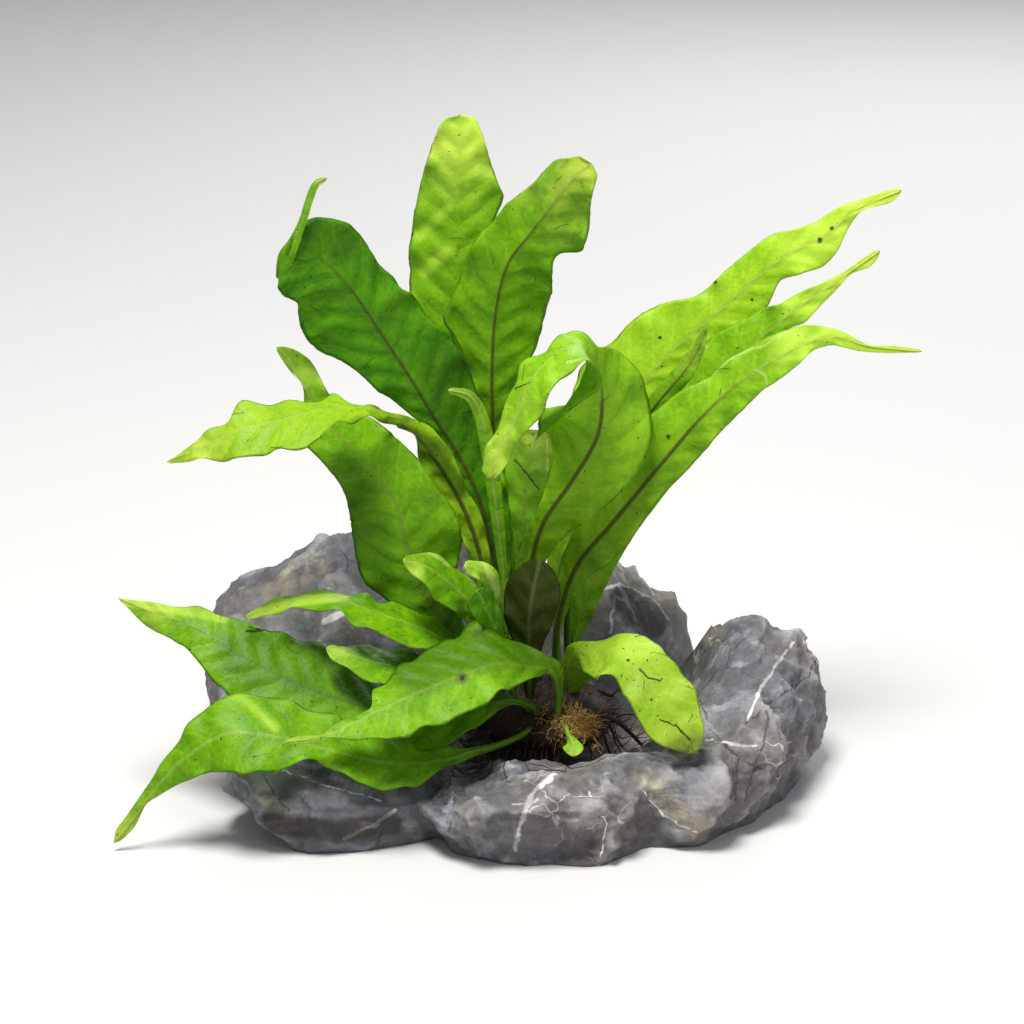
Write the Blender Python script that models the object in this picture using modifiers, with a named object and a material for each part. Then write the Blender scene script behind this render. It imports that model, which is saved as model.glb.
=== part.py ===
"""Java fern on stone: a hollowed limestone, the fern's rhizome lying in it, and its leaves.

Metres, +Z up. The origin is the middle of the stone's flat base, and the plant's front faces -Y.
A leaf is set out as it is seen from in front and a little above, by where its midrib runs.
"""

import math
from typing import NamedTuple

import bmesh
import bpy
import numpy as np
from mathutils import Euler, Vector, noise
from mathutils.bvhtree import BVHTree

MM = 0.001
OBJECT_NAME = "java_fern_on_stone"
SAME_PLACE = 1e-6

# Points taken along a path between two of its stated ones, before it is divided evenly
PATH_SAMPLES = 16

# The eye that the leaves are set out from, in mm and degrees
EYE_TILT_DEG = 20.0
EYE_DISTANCE = 800.0
EYE_AIM_HEIGHT = 69.0

# The stone, in mm
STONE_MIDDLE = (8.0, -8.0)
STONE_FLOOR = 8.0
STONE_DIRECTIONS = 78
STONE_RINGS = 24
STONE_CENTRE = 0.01
STONE_LUMP = 1.0
STONE_LUMP_SPAN = 15.0

# The stone's broken faces: how wide and deep the large and the small ones are, and how they lie
STONE_FACES = ((22.0, 5.0), (10.0, 2.2))
STONE_FACE_TURN = (0.61, 0.35, 1.07)
STONE_FACE_START = (3.0, 17.0, 9.0)

# How far sideways, rather than up, the stone's floor, rim and wall are pushed by their roughness
FLOOR_LEAN = 0.25
RIM_LEAN = 0.4
WALL_LEAN = 0.9

# How much of its roughness the floor of the hollow has, and the slope up from it
FLOOR_SHARE = 0.35
SLOPE_SHARE = 0.6

# The rhizome, in mm
RHIZOME_MIDDLE = (8.0, -10.0, 18.4)
RHIZOME_REACH = (17.5, 16.5, 8.0)
RHIZOME_LUMP = 1.5
RHIZOME_LUMP_SPAN = 6.0
RHIZOME_LUMP_START = (2.0, 9.0, 4.0)
ROOT_RADIUS = 0.9
ROOT_STEPS_PER_POINT = 3

# The leaves, in mm
LEAF_THICKNESS = 0.7
LEAF_COLUMNS = 4
LEAF_ROW_LENGTH = 9.5
LEAF_FEWEST_ROWS = 7
SEAT_GAP = 1.1
BLADE_WAVE = 0.08
WAVE_ROW_ANGLE = 1.9
WAVE_SIDE_ANGLE = 2.2


class Side(NamedTuple):
    """The stone in one direction from its middle."""

    angle: float
    reach: float
    top: float
    hollow: float


# Counted from +X towards the back
STONE_SIDES = (
    Side(0, 70, 33, 44),
    Side(14, 72, 36.5, 46),
    Side(28, 62, 33, 47),
    Side(39, 54, 17, 43),
    Side(47, 50, 12, 39),
    Side(53, 65, 24, 37),
    Side(59, 70, 33, 36),
    Side(67, 70, 39, 36),
    Side(77, 67, 44, 34),
    Side(98, 64, 42, 32),
    Side(116, 70, 46, 31),
    Side(129, 80, 49, 31),
    Side(140, 90, 47.5, 31),
    Side(149, 97, 41, 31),
    Side(161, 94, 31, 30),
    Side(180, 82, 24, 28),
    Side(201, 81, 21, 27),
    Side(215, 78, 17, 27),
    Side(224, 65, 15.5, 27),
    Side(233, 53, 14, 27),
    Side(246, 55, 16.5, 28),
    Side(264, 54.5, 19.5, 29),
    Side(282, 52.5, 19, 30.5),
    Side(299, 50, 17.5, 29.5),
    Side(315, 59, 17.5, 29),
    Side(330, 64, 22, 34),
    Side(346, 69, 30, 40),
)


class Leaf(NamedTuple):
    """A leaf's name, the look of its blade, and its stations from stalk to tip.

    Each station is how far across, how high and how deep the midrib is (depth is +Y), half the
    blade's width, and how many degrees its right-hand edge swings towards the front.
    """

    name: str
    colour: tuple
    cup: float
    stations: tuple


FRESH = (0.30, 0.52, 0.03)
BRIGHT = (0.45, 0.68, 0.05)
DEEP = (0.12, 0.30, 0.03)
OLIVE = (0.16, 0.22, 0.05)

LEAVES = (
    Leaf("leaf_back_tall", BRIGHT, 0.10, (
        (0.0, -38.5, 7.0, 0.8, 0), (-1.5, -24.0, 10.0, 1.5, 0), (-3.5, -8.0, 13.5, 3.5, 0),
        (-7.0, 12.0, 16.0, 6.0, 0), (-11.5, 32.0, 18.0, 9.5, 5), (-14.0, 50.0, 19.5, 11.8, 8),
        (-14.0, 65.0, 20.5, 12.0, 8), (-13.5, 78.0, 21.5, 10.3, 5), (-13.0, 89.0, 22.0, 7.2, 0),
        (-12.8, 99.3, 22.5, 3.4, 0))),
    Leaf("leaf_centre_upright", FRESH, 0.14, (
        (3.0, -40.0, 3.5, 0.8, 0), (1.0, -24.0, 6.0, 1.5, 0), (-1.5, -10.0, 8.5, 4.0, 0),
        (-3.5, 4.0, 10.0, 6.0, 0), (-4.7, 20.5, 11.0, 8.5, 0), (-5.0, 35.5, 11.0, 10.2, 0),
        (-4.0, 50.5, 10.5, 11.4, 0), (-1.0, 62.0, 9.0, 12.0, 0), (5.0, 70.0, 7.5, 11.3, 0),
        (10.3, 77.0, 6.0, 9.7, 0), (15.0, 83.0, 4.5, 7.6, 0), (19.6, 87.3, 3.5, 3.2, 0))),
    Leaf("leaf_left_broad", DEEP, 0.10, (
        (-1.0, -40.5, 0.5, 0.8, 0), (-2.5, -24.0, 1.5, 2.0, 0), (-5.0, -9.0, 2.5, 5.0, 0),
        (-8.5, 4.0, 3.5, 8.0, 0), (-13.5, 14.3, 4.0, 10.5, 0), (-19.3, 23.5, 3.5, 12.3, 0),
        (-24.8, 32.5, 2.0, 13.0, 0), (-32.0, 43.5, 0.0, 13.0, 0), (-39.0, 54.0, -2.5, 12.6, 0),
        (-45.0, 61.0, -4.5, 12.0, 0), (-51.0, 65.5, -6.5, 9.5, 0), (-55.5, 68.0, -7.5, 4.0, 0))),
    Leaf("leaf_left_level", BRIGHT, 0.10, (
        (-4.5, -41.5, -2.5, 0.8, 0), (-6.0, -26.0, -2.0, 1.2, 0), (-8.0, -11.0, -1.5, 2.6, 0),
        (-12.5, 1.8, -1.0, 4.2, 0), (-19.0, 12.8, -1.0, 4.6, 0), (-25.5, 20.6, -3.6, 4.2, -15),
        (-33.5, 25.2, -13.0, 5.6, -48), (-41.8, 26.0, -18.5, 8.0, -62), (-50.5, 24.8, -21.0, 9.0, -55),
        (-59.3, 22.5, -22.5, 9.4, -48), (-68.0, 20.5, -23.5, 8.6, -35), (-76.8, 16.5, -23.5, 3.8, -30),
        (-86.2, 12.5, -22.5, 0.7, -20))),
    Leaf("leaf_left_curved", FRESH, -0.04, (
        (-8.5, -43.5, -6.5, 0.8, 0), (-10.5, -36.0, -7.5, 1.2, 0), (-16.5, -28.0, -9.5, 4.5, 0),
        (-22.5, -19.5, -11.0, 9.0, 0), (-26.2, -9.5, -12.0, 13.0, 6), (-29.5, 3.0, -11.5, 12.4, 10),
        (-38.5, 13.8, -8.5, 8.0, 8), (-46.0, 22.5, -4.5, 5.0, 0), (-51.8, 31.5, -3.0, 3.2, 0),
        (-55.5, 37.5, -1.0, 2.0, 0), (-58.8, 41.3, 0.0, 0.6, 0))),
    Leaf("leaf_slender", FRESH, 0.10, (
        (0.0, -44.0, -6.0, 0.8, 0), (-1.0, -26.0, -6.5, 0.9, 0), (-2.5, -12.0, -6.5, 1.2, 0),
        (-3.8, 0.5, -6.5, 1.8, 0), (-5.5, 13.0, -6.0, 2.0, 0), (-7.5, 23.0, -5.5, 1.8, 0),
        (-10.5, 28.8, -5.5, 1.4, 0), (-16.0, 30.5, -6.0, 0.7, 0))),
    Leaf("leaf_arched", FRESH, 0.10, (
        (7.0, -43.0, -5.0, 0.8, 0), (5.5, -26.0, -6.0, 1.1, 0), (5.0, -13.0, -6.5, 3.2, 0),
        (8.0, -2.5, -7.5, 6.8, 0), (14.5, 7.0, -9.0, 10.5, 0), (21.0, 18.0, -11.0, 13.3, -5),
        (22.5, 27.5, -13.0, 12.6, -22), (21.3, 35.0, -17.0, 11.2, -45), (18.0, 41.0, -23.0, 10.0, -58),
        (11.5, 39.8, -29.0, 9.2, -58), (5.0, 33.0, -33.0, 7.6, -48), (1.0, 23.5, -35.0, 5.8, -35),
        (-3.0, 15.0, -36.0, 4.0, -20), (-6.0, 8.5, -36.5, 1.8, 0))),
    Leaf("leaf_centre_short", FRESH, 0.12, (
        (3.0, -46.0, -10.0, 0.8, 0), (2.5, -28.0, -11.0, 0.9, 0), (2.3, -12.0, -12.5, 1.6, 0),
        (2.8, -1.5, -14.0, 3.0, 0), (3.6, 9.0, -15.5, 5.4, 0), (5.2, 16.0, -16.5, 5.2, 0),
        (6.8, 20.5, -17.0, 2.6, 0))),
    Leaf("leaf_right_upper", BRIGHT, 0.08, (
        (12.0, -39.0, 4.0, 0.8, 0), (11.0, -24.0, 5.0, 1.0, 0), (12.5, -8.0, 6.5, 4.0, 0),
        (18.5, 8.0, 8.5, 8.5, 0), (25.0, 20.5, 10.5, 12.0, 0), (32.5, 31.5, 12.5, 13.0, 0),
        (41.0, 41.0, 14.0, 11.6, 0), (51.5, 50.0, 15.0, 8.6, 0), (61.0, 58.5, 15.5, 6.8, 0),
        (70.0, 65.0, 15.5, 6.2, 0), (79.0, 69.5, 15.0, 5.6, 0), (86.0, 75.5, 14.5, 3.2, 0),
        (97.4, 80.4, 14.0, 0.7, 0))),
    Leaf("leaf_right_forked", FRESH, 0.10, (
        (16.5, -41.0, 1.5, 0.8, 0), (15.5, -33.0, 2.0, 1.4, 0), (17.5, -24.5, 2.5, 3.2, 0),
        (20.8, -15.0, 3.0, 4.0, 0), (26.0, -3.5, 3.5, 5.2, 0), (33.0, 9.0, 4.0, 7.0, 0),
        (41.5, 22.0, 4.5, 8.0, 0), (50.5, 32.5, 5.0, 7.6, 0), (59.0, 40.5, 5.0, 6.4, 0),
        (66.5, 47.0, 5.0, 5.0, 0), (73.5, 52.5, 5.0, 3.6, 0), (80.5, 57.2, 5.0, 2.6, 0),
        (92.0, 65.3, 5.0, 0.7, 0))),
    Leaf("leaf_right_long", BRIGHT, 0.12, (
        (10.5, -42.0, -2.0, 0.8, 0), (11.5, -28.0, -3.0, 1.2, 0), (16.0, -14.0, -4.0, 4.2, 0),
        (24.5, -3.5, -5.0, 8.0, 0), (32.0, 5.5, -6.0, 10.5, 0), (39.0, 14.0, -6.5, 10.4, 0),
        (47.0, 23.3, -6.5, 9.0, 0), (55.8, 31.5, -6.0, 7.6, 0), (64.5, 37.5, -5.5, 5.9, 0),
        (73.0, 42.0, -5.0, 5.0, 0), (81.0, 43.8, -4.5, 3.0, 0), (89.0, 41.5, -4.0, 1.6, 0),
        (102.4, 40.1, -3.0, 0.6, 0))),
    Leaf("leaf_right_narrow", DEEP, 0.10, (
        (14.0, -40.5, -0.5, 0.8, 0), (14.0, -24.0, -0.5, 0.9, 0), (17.5, -8.0, -1.0, 1.2, 0),
        (24.0, 7.0, -1.0, 1.8, 0), (31.0, 20.0, -1.0, 2.2, 0), (37.0, 28.0, -1.0, 2.5, 0),
        (42.5, 34.5, -1.0, 2.4, 0), (46.0, 40.0, -1.0, 1.8, 0), (48.5, 46.0, -1.0, 0.6, 0))),
    Leaf("leaf_right_drooping", BRIGHT, 0.10, (
        (14.5, -46.0, -13.0, 0.8, 0), (14.0, -39.0, -17.0, 1.6, 0), (16.0, -35.3, -21.0, 3.4, 10),
        (21.0, -35.0, -26.0, 6.0, 35), (28.0, -35.8, -33.0, 8.0, 40), (34.5, -42.0, -39.0, 8.4, 25),
        (39.0, -49.5, -43.5, 8.0, 10), (43.2, -56.5, -46.0, 5.0, 0), (46.2, -60.0, -47.0, 1.6, 0))),
    Leaf("leaf_front", BRIGHT, 0.08, (
        (11.5, -51.5, -23.0, 0.8, 0), (11.5, -44.5, -24.5, 0.9, 0), (9.5, -39.8, -27.5, 2.2, -20),
        (4.5, -38.8, -30.5, 5.5, -38), (-3.8, -38.0, -35.0, 11.0, -40), (-13.0, -41.0, -39.5, 13.4, -40),
        (-23.0, -45.0, -44.0, 11.6, -40), (-31.8, -49.0, -48.0, 8.2, -40), (-40.5, -53.3, -52.0, 3.6, -40),
        (-48.5, -56.5, -55.5, 1.4, -30), (-57.2, -57.5, -58.0, 0.6, 0))),
    Leaf("leaf_low_left_broad", FRESH, 0.10, (
        (7.5, -53.0, -20.5, 0.8, 0), (5.0, -49.0, -23.0, 0.9, 0), (0.0, -47.0, -25.0, 1.2, -20),
        (-7.0, -48.3, -27.0, 3.5, -38), (-15.5, -50.8, -28.5, 7.8, -40), (-28.0, -50.8, -30.0, 13.0, -38),
        (-39.3, -48.0, -31.0, 15.0, -36), (-50.5, -44.3, -31.0, 15.0, -33), (-61.8, -39.3, -29.0, 12.0, -28),
        (-71.8, -33.5, -26.0, 9.4, -22), (-80.5, -28.5, -22.0, 5.8, -15), (-90.5, -24.8, -18.0, 2.6, -10),
        (-98.4, -21.5, -15.0, 0.7, 0))),
    Leaf("leaf_low_left_long", FRESH, 0.10, (
        (5.0, -54.0, -24.0, 0.8, 0), (1.0, -56.5, -29.5, 0.8, 0), (-5.0, -58.8, -34.5, 0.9, 0),
        (-11.0, -60.2, -39.0, 1.3, -15), (-17.0, -62.0, -42.0, 4.0, -32), (-25.5, -63.0, -46.0, 7.6, -36),
        (-35.5, -62.0, -48.5, 9.8, -36), (-48.0, -59.0, -50.0, 11.0, -34), (-60.5, -56.0, -50.5, 11.4, -30),
        (-71.0, -55.5, -51.0, 10.2, -22), (-80.8, -60.8, -51.0, 5.4, -12), (-88.5, -68.5, -51.0, 2.9, -5),
        (-95.5, -78.0, -51.0, 1.6, 0), (-99.5, -82.6, -51.0, 0.6, 0))),
    Leaf("leaf_low_left_thin", FRESH, 0.08, (
        (-6.0, -46.0, -12.5, 0.8, 0), (-7.5, -40.0, -14.5, 1.2, -20), (-12.5, -34.0, -17.5, 3.2, -45),
        (-20.5, -30.0, -21.0, 7.6, -56), (-29.3, -26.8, -22.5, 8.8, -60), (-38.0, -23.8, -22.0, 8.0, -64),
        (-45.5, -21.5, -21.0, 6.4, -68), (-53.0, -21.8, -19.5, 4.6, -68), (-60.5, -24.0, -18.0, 3.0, -60),
        (-66.8, -26.3, -16.5, 0.7, -40))),
    Leaf("leaf_low_left_folded", FRESH, 0.08, (
        (-3.5, -48.5, -17.0, 0.8, 0), (-5.5, -43.5, -19.5, 1.2, -20), (-12.5, -40.8, -23.5, 3.2, -50),
        (-22.5, -39.5, -26.5, 7.6, -54), (-33.0, -38.0, -28.0, 7.6, -54), (-41.8, -35.5, -28.5, 4.4, -50),
        (-46.5, -34.0, -28.5, 1.0, -40))),
    Leaf("leaf_crown_pale_edge", FRESH, 0.12, (
        (-4.5, -46.0, -9.5, 0.8, 0), (-6.0, -33.0, -12.5, 1.2, 0), (-9.5, -24.0, -16.0, 4.0, -30),
        (-15.0, -18.5, -19.5, 6.6, -45), (-21.0, -14.0, -22.5, 6.2, -50), (-27.3, -12.0, -24.5, 1.0, -40))),
    Leaf("leaf_crown_folded", BRIGHT, 0.16, (
        (-1.0, -46.0, -12.0, 0.8, 0), (-1.5, -32.0, -15.5, 1.0, 0), (-4.5, -20.5, -19.5, 2.4, -20),
        (-7.5, -15.0, -22.5, 3.4, -40), (-12.0, -13.5, -25.5, 1.2, -30))),
    Leaf("leaf_crown_brown", OLIVE, 0.24, (
        (4.5, -48.0, -15.5, 0.8, 0), (4.3, -36.0, -19.5, 3.0, 0), (4.2, -27.5, -22.0, 6.0, 0),
        (5.2, -20.0, -23.5, 6.8, 0), (6.3, -15.0, -24.5, 4.4, 0), (7.0, -12.0, -25.0, 1.4, 0))),
    Leaf("leaf_crown_small", DEEP, 0.14, (
        (1.0, -48.0, -16.0, 0.8, 0), (-1.8, -37.0, -20.0, 1.0, 0), (-4.5, -28.5, -24.0, 2.6, -10),
        (-7.2, -22.8, -27.0, 3.8, -20), (-9.0, -19.5, -28.5, 1.6, -20))),
    Leaf("leaf_base_round", BRIGHT, 0.10, (
        (13.5, -53.5, -24.5, 0.6, 0), (14.0, -55.6, -29.0, 0.6, 0), (14.8, -57.1, -32.5, 1.2, 0),
        (15.3, -58.9, -35.0, 2.6, 0), (15.2, -61.2, -36.5, 1.2, 0))),
)


class Root(NamedTuple):
    """A thick root: the points that it runs through."""

    points: tuple


ROOTS = (
    Root(((20.0, -12.0, 19.0), (26.0, -15.5, 19.0), (30.0, -18.5, 16.5), (32.5, -19.5, 14.0))),
    Root(((0.0, -16.0, 19.0), (-5.0, -20.5, 18.5), (-9.0, -22.5, 17.5), (-11.0, -21.5, 15.8))),
    Root(((17.0, -18.0, 18.0), (21.0, -23.5, 16.5), (22.0, -27.5, 14.0))),
    Root(((2.0, 0.0, 18.0), (-5.0, 3.0, 18.0), (-8.5, 4.5, 16.0))),
    Root(((14.0, 0.0, 18.0), (21.0, 5.0, 18.0), (26.0, 8.0, 15.5))),
)


def clear_scene():
    """Removes every object of the scene."""
    for obj in list(bpy.data.objects):
        bpy.data.objects.remove(obj, do_unlink=True)


def new_collection(name):
    """Adds an empty collection to the scene."""
    collection = bpy.data.collections.new(name)
    bpy.context.scene.collection.children.link(collection)
    return collection


def finish(name, colour, roughness):
    """Makes a plain material."""
    material = bpy.data.materials.new(name)
    material.use_nodes = True
    shader = material.node_tree.nodes["Principled BSDF"]
    shader.inputs["Base Color"].default_value = (*colour, 1.0)
    shader.inputs["Roughness"].default_value = roughness
    shader.inputs["Metallic"].default_value = 0.0
    return material


def add_object(name, mesh, collection, colour, roughness):
    """Adds a mesh to a collection as an object with its own material."""
    obj = bpy.data.objects.new(name, mesh)
    collection.objects.link(obj)
    mesh.materials.append(finish(name, colour, roughness))
    return obj


def mesh_from(bm, name):
    """Turns a bmesh into a mesh with its faces outwards."""
    bmesh.ops.recalc_face_normals(bm, faces=bm.faces)
    mesh = bpy.data.meshes.new(name)
    bm.to_mesh(mesh)
    bm.free()
    return mesh


def smooth_path(points, count):
    """Points evenly spaced along the smooth curve through the given ones."""
    points = np.array(points, dtype=float)
    padded = np.vstack([2 * points[0] - points[1], points, 2 * points[-1] - points[-2]])
    fine = []
    for before, start, end, after in zip(padded, padded[1:], padded[2:], padded[3:]):
        for t in np.linspace(0.0, 1.0, PATH_SAMPLES, endpoint=False):
            fine.append(0.5 * (
                2 * start + (end - before) * t
                + (2 * before - 5 * start + 4 * end - after) * t ** 2
                + (3 * start - before - 3 * end + after) * t ** 3))
    fine.append(points[-1])
    fine = np.array(fine)
    steps = np.linalg.norm(np.diff(fine[:, :3], axis=0), axis=1)
    along = np.concatenate([[0.0], np.cumsum(steps)])
    wanted = np.linspace(0.0, along[-1], count)
    return np.column_stack([np.interp(wanted, along, column) for column in fine.T])


def path_length(points):
    """Length of the straight runs between points."""
    return float(np.linalg.norm(np.diff(np.array(points)[:, :3], axis=0), axis=1).sum())


def eye_point():
    """Where the eye is, in mm."""
    tilt = math.radians(EYE_TILT_DEG)
    return Vector((0.0, -EYE_DISTANCE * math.cos(tilt), EYE_AIM_HEIGHT + EYE_DISTANCE * math.sin(tilt)))


def place(across, rise, depth):
    """The point, in mm, that the eye sees at across and rise and that lies at this depth."""
    tilt = math.radians(EYE_TILT_DEG)
    slope = rise * math.sin(tilt)
    nearer = (slope - depth) / (math.cos(tilt) + slope / EYE_DISTANCE)
    scale = 1.0 - nearer / EYE_DISTANCE
    height = EYE_AIM_HEIGHT + nearer * math.sin(tilt) + rise * math.cos(tilt) * scale
    return Vector((across * scale, depth, height))


def around(sides, field, angle):
    """A value of the stone's sides at any angle, straight between the stated ones."""
    angles = [side.angle for side in sides]
    values = [getattr(side, field) for side in sides]
    return float(np.interp(angle, angles, values, period=360.0))


def stone_knots(reach, top, hollow):
    """Radius, height, lean and share of roughness of the stone from its middle out to its base's edge."""
    shoulder = max(hollow + 4.0, 0.91 * reach)
    rim = 0.5 * (hollow + shoulder)
    wall = top - STONE_FLOOR
    floor = ((0.28 * hollow, STONE_FLOOR), (0.55 * hollow, STONE_FLOOR + 0.03 * wall))
    slope = ((0.76 * hollow, STONE_FLOOR + 0.22 * wall), (0.90 * hollow, STONE_FLOOR + 0.60 * wall))
    crest = ((hollow, STONE_FLOOR + 0.88 * wall), (0.5 * (hollow + rim), 0.98 * top), (rim, top),
             (0.5 * (rim + shoulder), 0.99 * top), (shoulder, 0.94 * top))
    outside = ((0.985 * reach, 0.82 * top), (reach, 0.68 * top), (0.99 * reach, 0.45 * top),
               (0.97 * reach, 0.24 * top), (0.95 * reach, 0.09 * top), (0.93 * reach, 0.0))
    return ([(*spot, FLOOR_LEAN, FLOOR_SHARE) for spot in floor]
            + [(*spot, FLOOR_LEAN, SLOPE_SHARE) for spot in slope]
            + [(*spot, RIM_LEAN, 1.0) for spot in crest]
            + [(*spot, WALL_LEAN, 1.0) for spot in outside])


def ring_places():
    """Where the stone's rings lie, counted in knots of its profile and evenly apart on average."""
    profiles = np.array([stone_knots(*side[1:]) for side in STONE_SIDES])
    lengths = np.linalg.norm(np.diff(profiles[:, :, :2], axis=1), axis=2).mean(axis=0)
    along = np.concatenate([[0.0], np.cumsum(lengths)])
    return np.interp(np.linspace(0.0, along[-1], STONE_RINGS), along, np.arange(len(along)))


def stone_profile(side, places):
    """Radius, height, lean and share of roughness of the stone at each of its rings."""
    knots = np.array(stone_knots(*side))
    return np.column_stack([np.interp(places, np.arange(len(knots)), column) for column in knots.T])


def broken(point):
    """How far the stone's broken faces, which meet in straight ridges, raise a point."""
    raised = 0.0
    turned = Euler(STONE_FACE_TURN).to_matrix() @ point
    for number, (span, depth) in enumerate(STONE_FACES):
        spot = turned / span + number * Vector(STONE_FACE_START)
        corner = Vector([math.floor(value) + 0.5 for value in spot])
        shares = {axis: spot[axis] - corner[axis] + 0.5 for axis in range(3)}
        left = 1.0
        for axis in sorted(shares, key=shares.get, reverse=True):
            raised += depth * (left - shares[axis]) * noise.cell(corner)
            left = shares[axis]
            corner[axis] += 1.0
        raised += depth * left * noise.cell(corner)
    return raised


def craggy(point, direction, share):
    """Moves a point of the stone's surface in or out by its lumps and broken faces."""
    lump = STONE_LUMP * noise.noise(point / STONE_LUMP_SPAN)
    return point + direction * share * (lump + broken(point))


def stone_point(around_middle, ring, places):
    """Where a point of the spun profile belongs on the stone."""
    middle = Vector((*STONE_MIDDLE, 0.0))
    outward = Vector((around_middle.x, around_middle.y, 0.0))
    at_base = around_middle.z < SAME_PLACE
    if outward.length < STONE_CENTRE:
        centre = middle + Vector((0, 0, around_middle.z))
        return centre if at_base else craggy(centre, Vector((0, 0, 1)), FLOOR_SHARE)
    angle = math.degrees(math.atan2(outward.y, outward.x)) % 360.0
    side = [around(STONE_SIDES, field, angle) for field in ("reach", "top", "hollow")]
    radius, height, lean, share = stone_profile(side, places)[ring]
    outward.normalize()
    push = (outward * lean + Vector((0, 0, 1.0 - lean))).normalized()
    moved = craggy(middle + outward * radius + Vector((0, 0, height)), push, share)
    return Vector((moved.x, moved.y, 0.0 if at_base else moved.z))


def build_stone(collection):
    """The stone: a ring of profiles about the middle of the hollow, closed by a flat base."""
    bm = bmesh.new()
    rings = bm.verts.layers.int.new("ring")
    places = ring_places()
    start = []
    for ring, (radius, height, _, _) in enumerate(stone_profile(STONE_SIDES[0][1:], places)):
        vert = bm.verts.new((radius, 0.0, height))
        vert[rings] = ring
        start.append(vert)
    edges = [bm.edges.new(pair) for pair in zip(start, start[1:])]
    bmesh.ops.spin(
        bm, geom=start + edges, cent=(0, 0, 0), axis=(0, 0, 1), angle=math.tau,
        steps=STONE_DIRECTIONS, use_merge=True)
    bmesh.ops.holes_fill(bm, edges=[edge for edge in bm.edges if edge.is_boundary], sides=0)
    bmesh.ops.poke(bm, faces=[face for face in bm.faces if len(face.verts) > 4])
    for vert in bm.verts:
        vert.co = stone_point(vert.co, vert[rings], places)
    bmesh.ops.triangulate(bm, faces=bm.faces)
    bmesh.ops.scale(bm, vec=(MM, MM, MM), verts=bm.verts)
    return add_object("stone", mesh_from(bm, "stone"), collection, (0.30, 0.31, 0.34), 0.75)


def tube_mesh(name, points, radius):
    """A closed tube along a smooth path, as a mesh with welded caps."""
    curve = bpy.data.curves.new(name, "CURVE")
    curve.dimensions = "3D"
    curve.bevel_depth = radius * MM
    curve.bevel_resolution = 1
    curve.use_fill_caps = True
    path = smooth_path(points, ROOT_STEPS_PER_POINT * len(points))
    spline = curve.splines.new("POLY")
    spline.points.add(len(path) - 1)
    for control, point in zip(spline.points, path):
        control.co = (*(point * MM), 1.0)
    guide = bpy.data.objects.new(name, curve)
    bpy.context.scene.collection.objects.link(guide)
    evaluated = guide.evaluated_get(bpy.context.evaluated_depsgraph_get())
    mesh = bpy.data.meshes.new_from_object(evaluated)
    bpy.data.objects.remove(guide)
    bm = bmesh.new()
    bm.from_mesh(mesh)
    bmesh.ops.remove_doubles(bm, verts=bm.verts, dist=SAME_PLACE)
    bmesh.ops.recalc_face_normals(bm, faces=bm.faces)
    bm.to_mesh(mesh)
    bm.free()
    return mesh


def build_rhizome(collection, cutters):
    """The rhizome: a lumpy body with thick roots joined to it."""
    bm = bmesh.new()
    bmesh.ops.create_icosphere(bm, subdivisions=3, radius=1.0)
    for vert in bm.verts:
        outward = vert.co.normalized()
        point = Vector([c + r * v for c, r, v in zip(RHIZOME_MIDDLE, RHIZOME_REACH, outward)])
        lump = RHIZOME_LUMP * noise.noise(point / RHIZOME_LUMP_SPAN + Vector(RHIZOME_LUMP_START))
        vert.co = (point + outward * lump) * MM
    rhizome = add_object("rhizome", mesh_from(bm, "rhizome"), collection, (0.06, 0.04, 0.025), 0.8)
    for number, root in enumerate(ROOTS):
        name = f"root_{number}"
        guide = bpy.data.objects.new(name, tube_mesh(name, root.points, ROOT_RADIUS))
        cutters.objects.link(guide)
        guide.hide_render = True
        guide.display_type = "WIRE"
        join = rhizome.modifiers.new(name, "BOOLEAN")
        join.operation = "UNION"
        join.solver = "EXACT"
        join.object = guide
    return rhizome


def solid_tree(obj):
    """A search tree over an object's finished surface."""
    graph = bpy.context.evaluated_depsgraph_get()
    return BVHTree.FromObject(obj, graph)


def seated(base, second, tree):
    """The end of a stalk, set just clear of the rhizome on the line from the stalk's second point."""
    line = (base - second).normalized()
    hit, _, _, _ = tree.ray_cast(second * MM, line)
    if hit is None:
        hit, _, _, _ = tree.find_nearest(base * MM)
    return hit / MM - line * SEAT_GAP


def blade_frame(point, tangent, turn):
    """The blade's sideways and outward directions at a point of the midrib."""
    to_eye = (eye_point() - point).normalized()
    right = tangent.cross(to_eye).normalized()
    front = right.cross(tangent).normalized()
    angle = math.radians(turn)
    sideways = right * math.cos(angle) + front * math.sin(angle)
    return sideways, sideways.cross(tangent).normalized()


def leaf_sheet(leaf, tree):
    """The leaf as an open sheet: a grid bent along the midrib."""
    stations = [(*place(*station[:3]), station[3], station[4]) for station in leaf.stations]
    base = seated(Vector(stations[0][:3]), Vector(stations[1][:3]), tree)
    stations[0] = (*base, *stations[0][3:])
    rows = max(LEAF_FEWEST_ROWS, round(path_length(stations) / LEAF_ROW_LENGTH))
    path = smooth_path(stations, rows + 1)
    tangents = np.gradient(path[:, :3], axis=0)
    bm = bmesh.new()
    bmesh.ops.create_grid(bm, x_segments=LEAF_COLUMNS, y_segments=rows, size=1.0)
    for vert in bm.verts:
        row = round((vert.co.y + 1.0) / 2.0 * rows)
        across = vert.co.x
        point = Vector(path[row][:3])
        half, turn = path[row][3:]
        tangent = Vector(tangents[row]).normalized()
        sideways, outward = blade_frame(point, tangent, turn)
        wave = BLADE_WAVE * math.sin(WAVE_ROW_ANGLE * row + (WAVE_SIDE_ANGLE if across > 0 else 0.0))
        lift = abs(across) * half * (leaf.cup + wave * abs(across))
        vert.co = (point + sideways * (across * half) - outward * lift) * MM
    return mesh_from(bm, leaf.name)


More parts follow.
